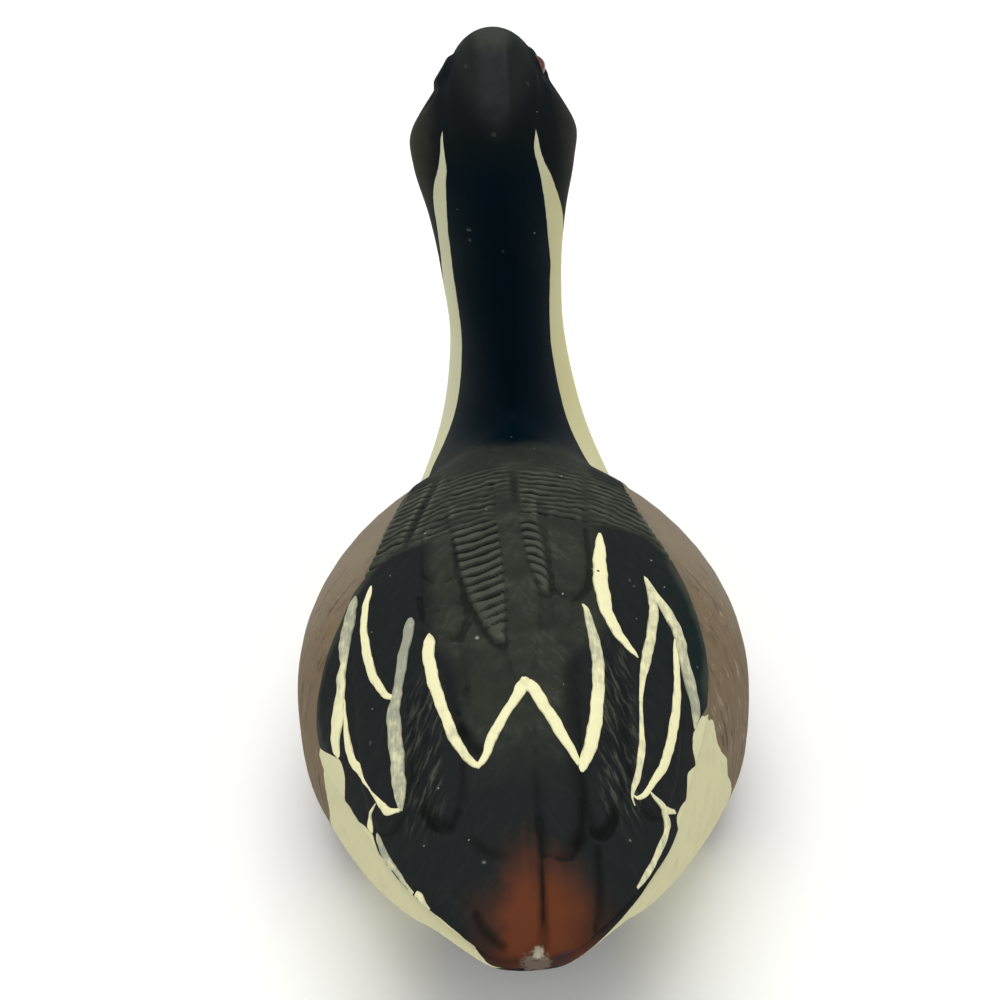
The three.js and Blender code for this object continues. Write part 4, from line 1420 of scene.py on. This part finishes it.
def paint_bead(knots, seed):
    """Rings of one stroke. Across a ring the point moves by half the width times cos,
    and stands sqrt(sin) of the bead's height above the carving, or sunk below it."""
    knots = np.array(knots, float)
    rough_length = np.hypot(*np.diff(knots[:, :2], axis=0).T).sum()
    place = np.linspace(0, len(knots) - 1, max(8, int(rough_length / STROKE_STEP)))
    path = through(knots, place)
    heading = np.gradient(path[:, :2], axis=0)
    heading /= np.linalg.norm(heading, axis=1, keepdims=True)
    run = np.concatenate([[0], np.cumsum(np.hypot(*np.diff(path[:, :2], axis=0).T))])
    turn = np.linspace(0, 2 * np.pi, STROKE_SIDES, endpoint=False)
    width = np.maximum(path[:, 2], THINNEST)
    ragged = 1 + 0.06 * np.sin(run[:, None] * 1.3 + seed + 1.3 * np.sign(np.cos(turn)))
    ragged = ragged + 0.03 * np.sin(run[:, None] * 3.1 + 2 * seed + 2.1 * np.sign(np.cos(turn)))
    off = 0.5 * width[:, None] * np.cos(turn) * ragged
    x = path[:, :1] - heading[:, 1:] * off
    y = path[:, 1:2] + heading[:, :1] * off
    surface, outward = carved_skin(*on_back(x, y))
    bead = BEAD_HEIGHT + BEAD_PER_WIDTH * width[:, None]
    bead = bead * (1 + 0.18 * np.sin(run[:, None] * 2.6 + seed))
    rise = np.sin(turn)
    above = bead * np.sqrt(np.clip(rise, 0, 1))
    below = -PAINT_SUNK * np.sqrt(np.clip(-rise, 0, 1))
    height = np.where(rise >= 0, above, below) + ARCH_FOOT
    return surface + outward * height[..., None], run, np.cos(turn)


def feather_lines():
    """All the strokes as one piece, with the paint's load and the place across each."""
    beads, loads, across = [], [], []
    for seed, (root_load, tip_load, knots) in enumerate(STROKES.values()):
        grid, run, cosine = paint_bead(knots, seed * 2.4)
        load = root_load + (tip_load - root_load) * ease(run / run[-1], 0.15, 0.85)
        beads.append(grid)
        loads.append(np.repeat(load[:, None], STROKE_SIDES, axis=1))
        across.append(np.repeat(cosine[None, :], len(grid), axis=0))
    return closed_skins("white_feather_lines", beads, {"load": loads, "across": across})


small_stroke, _, _ = paint_bead(STROKES["left wing tie"][2], 0.0)
print("a small stroke has", len(small_stroke), "rings of", STROKE_SIDES, "points")

# %% [markdown]
# The strokes' paint is cream where the brush was full. Where it ran dry it is grey and streaked,
# its edges are darker, partly thin paint and partly painted shade on the bead's sloping sides, and
# one stroke has a small pit with the dark back showing through.

# %% Thick cream paint for the strokes
STROKE_CREAM = colour(230, 226, 180)
STROKE_GREY = colour(146, 149, 130)
STROKE_THIN_EDGE_SHADE = colour(96, 96, 84)
PIT_PLACE = (-12.05, 21.95, 0.0)
PIT_RADIUS = 0.28


def stroke_paint():
    """Cream where the brush was loaded, grey and broken where it ran dry."""
    bench = Bench("thick_cream_strokes")
    vector, x, y, z = bench.place()
    load = bench.mark("load")
    across = bench.mark("across")
    broad = bench.noise(vector, 0.5, 3.0, 0.6) - 0.5
    bristle = bench.noise(bench.joined(x * 2.4, y * 0.35, z * 0.35), 1.0, 3.0, 0.6) - 0.5
    covered = bench.ease(load + broad * 0.7 + bristle * 0.5, 0.20, 0.75)
    paint = bench.blend(STROKE_GREY, STROKE_CREAM, covered)
    # The edges are darker: thin paint, and painted shade on the bead's sloping sides.
    worn = bench.ease(abs(across) + bristle * 1.2, 0.80, 1.05) * (1.0 - load * 0.6)
    paint = bench.blend(paint, STROKE_THIN_EDGE_SHADE, worn * 0.8)
    pit_at = bench.distance(bench.joined(x, y), PIT_PLACE)
    paint = bench.blend(paint, CHARCOAL, bench.ease(pit_at, PIT_RADIUS, 0.16))
    height = bristle * 0.14 + broad * 0.10
    return bench.coat(paint, 0.5 + broad * 0.2, height, 0.15)


white_lines = feather_lines()
white_lines.data.materials.append(stroke_paint())
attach(white_lines, "root")

# %% [markdown]
# The eyes are moulded with the head, as small round beads half sunk in it.
# Each is a ball here, painted red-brown with a black pupil. Its surface is much
# smoother than the rest, which makes an eye look wet even on a matt bird.

# %% Eyes
EYE_RED = colour(96, 33, 18)
EYE_DARK = colour(14, 11, 10)
EYE_RINGS = 20
EYE_COLUMNS = 28
PUPIL_DEGREES = 22.0
IRIS_DEGREES = 55.0


def eye_ball(side):
    """Rings of a ball about the sunk centre: radius * (sin, cos) of the angle from the
    outward direction, which stops just short of both poles, where the fans close it."""
    u, degrees = EYE_PLACE[side]
    outward, _, _ = skin_frame(np.array(u), np.array(side * degrees))
    centre = on_side(EYE_PLACE[side], side) - EYE_SUNK[side] * outward
    first = np.cross(outward, (0, 0, 1))
    first /= np.linalg.norm(first)
    second = np.cross(outward, first)
    tilt = np.radians(np.linspace(3, 177, EYE_RINGS))[:, None, None]
    turn = np.linspace(0, 2 * np.pi, EYE_COLUMNS, endpoint=False)[None, :, None]
    flat = np.cos(turn) * first + np.sin(turn) * second
    grid = centre + EYE_RADIUS * (np.cos(tilt) * outward + np.sin(tilt) * flat)
    return grid, np.repeat(np.degrees(tilt[..., 0]), EYE_COLUMNS, axis=1)


def eye_paint():
    """A pupil, a red-brown iris that darkens outwards, and a dark rim."""
    bench = Bench("glossy_eye_paint")
    vector = bench.place()[0]
    tilt = bench.mark("tilt")
    mottle = bench.noise(vector, 1.6, 3.0) - 0.5
    rim = bench.ease(tilt + mottle * 20, IRIS_DEGREES, IRIS_DEGREES + 25.0)
    iris = bench.blend(EYE_RED, EYE_DARK, rim)
    pupil = bench.ease(tilt + mottle * 6, PUPIL_DEGREES + 5.0, PUPIL_DEGREES)
    iris = bench.blend(iris, EYE_DARK, pupil)
    return bench.coat(iris, 0.18 + mottle * 0.1, mottle * 0.02, 0.5)


left_ball, left_tilt = eye_ball(1)
right_ball, right_tilt = eye_ball(-1)
duck_eyes = closed_skins("duck_eyes", [left_ball, right_ball], {"tilt": [left_tilt, right_tilt]})
duck_eyes.data.materials.append(eye_paint())
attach(duck_eyes, "root")

# %% [markdown]
# A product photograph of a small dark thing wants a pale ground and very soft light.
# One wide light hangs overhead, a weaker one fills from each side, and a pale
# sky keeps the shadows open.

# %% Ground and light
FLOOR_REACH = 3.0
PALE_GROUND = (0.96, 0.96, 0.95, 1.0)
FAINT_GROUND = (0.93, 0.93, 0.92, 1.0)


def pale_floor():
    """A square at z = 0, the height that the bird stands on."""
    reach = FLOOR_REACH
    corners = [(-reach, -reach, 0), (reach, -reach, 0), (reach, reach, 0), (-reach, reach, 0)]
    mesh = bpy.data.meshes.new("pale_floor")
    mesh.from_pydata(corners, [], [(0, 1, 2, 3)])
    floor = bpy.data.objects.new("pale_floor", mesh)
    scene.collection.objects.link(floor)
    bench = Bench("pale_ground")
    vector = bench.place()[0]
    faint = bench.noise(vector, 0.02, 2.0) - 0.5
    ground = bench.blend(PALE_GROUND, FAINT_GROUND, faint)
    floor.data.materials.append(bench.coat(ground, 0.8 + faint * 0.1, faint * 0.01, 0.1))


def soft_light(name, size, watts, place, target):
    """A square area light that looks at a target."""
    data = bpy.data.lights.new(name, "AREA")
    data.shape = "SQUARE"
    data.size = size
    data.energy = watts
    light = bpy.data.objects.new(name, data)
    light.location = place
    light.rotation_euler = (Vector(target) - Vector(place)).to_track_quat("-Z", "Y").to_euler()
    scene.collection.objects.link(light)
    print(name, watts, "W at", place)


pale_floor()
MIDDLE = (0.0, 0.0, 0.05)
SKY_STRENGTH = 0.53
soft_light("overhead_light", 0.7, 4.4, (0.0, -0.10, 0.80), MIDDLE)
soft_light("left_fill", 0.5, 1.1, (0.75, 0.10, 0.45), MIDDLE)
soft_light("right_fill", 0.5, 1.0, (-0.75, 0.10, 0.45), MIDDLE)
world = bpy.data.worlds.new("pale_sky")
world.use_nodes = True
world.node_tree.nodes["Background"].inputs["Color"].default_value = (1.0, 1.0, 1.0, 1.0)
world.node_tree.nodes["Background"].inputs["Strength"].default_value = SKY_STRENGTH
scene.world = world

# %% [markdown]
# The camera stands behind the bird and looks down on its back, at the distance
# where the head, which is further off, shows as small as in the photograph.
# The picture was taken with the camera turned a few degrees about its own axis.

# %% Camera
TARGET = Vector((1.9, 4.5, 50.6)) * MM
DISTANCE = 290 * MM
ELEVATION = np.radians(36)
ROLL = np.radians(-2.6)
FOCAL_PIXELS = 1880
IMAGE_PIXELS = 1000
SENSOR = 36.0

camera_data = bpy.data.cameras.new("photo_camera")
camera_data.sensor_width = SENSOR
camera_data.lens = SENSOR * FOCAL_PIXELS / IMAGE_PIXELS
camera_data.dof.use_dof = False
camera_data.clip_start = 0.01
camera = bpy.data.objects.new("photo_camera", camera_data)
away = Vector((0.0, np.cos(ELEVATION), np.sin(ELEVATION)))
camera.location = TARGET + away * DISTANCE
aim = (-away).to_track_quat("-Z", "Y")
camera.rotation_euler = (aim.to_matrix() @ Matrix.Rotation(ROLL, 3, "Z")).to_euler()
scene.collection.objects.link(camera)
scene.camera = camera
print("camera at", [round(v, 4) for v in camera.location])

# %% [markdown] The painted bird stands for the solid, so it has to stay inside
# the solid's box.
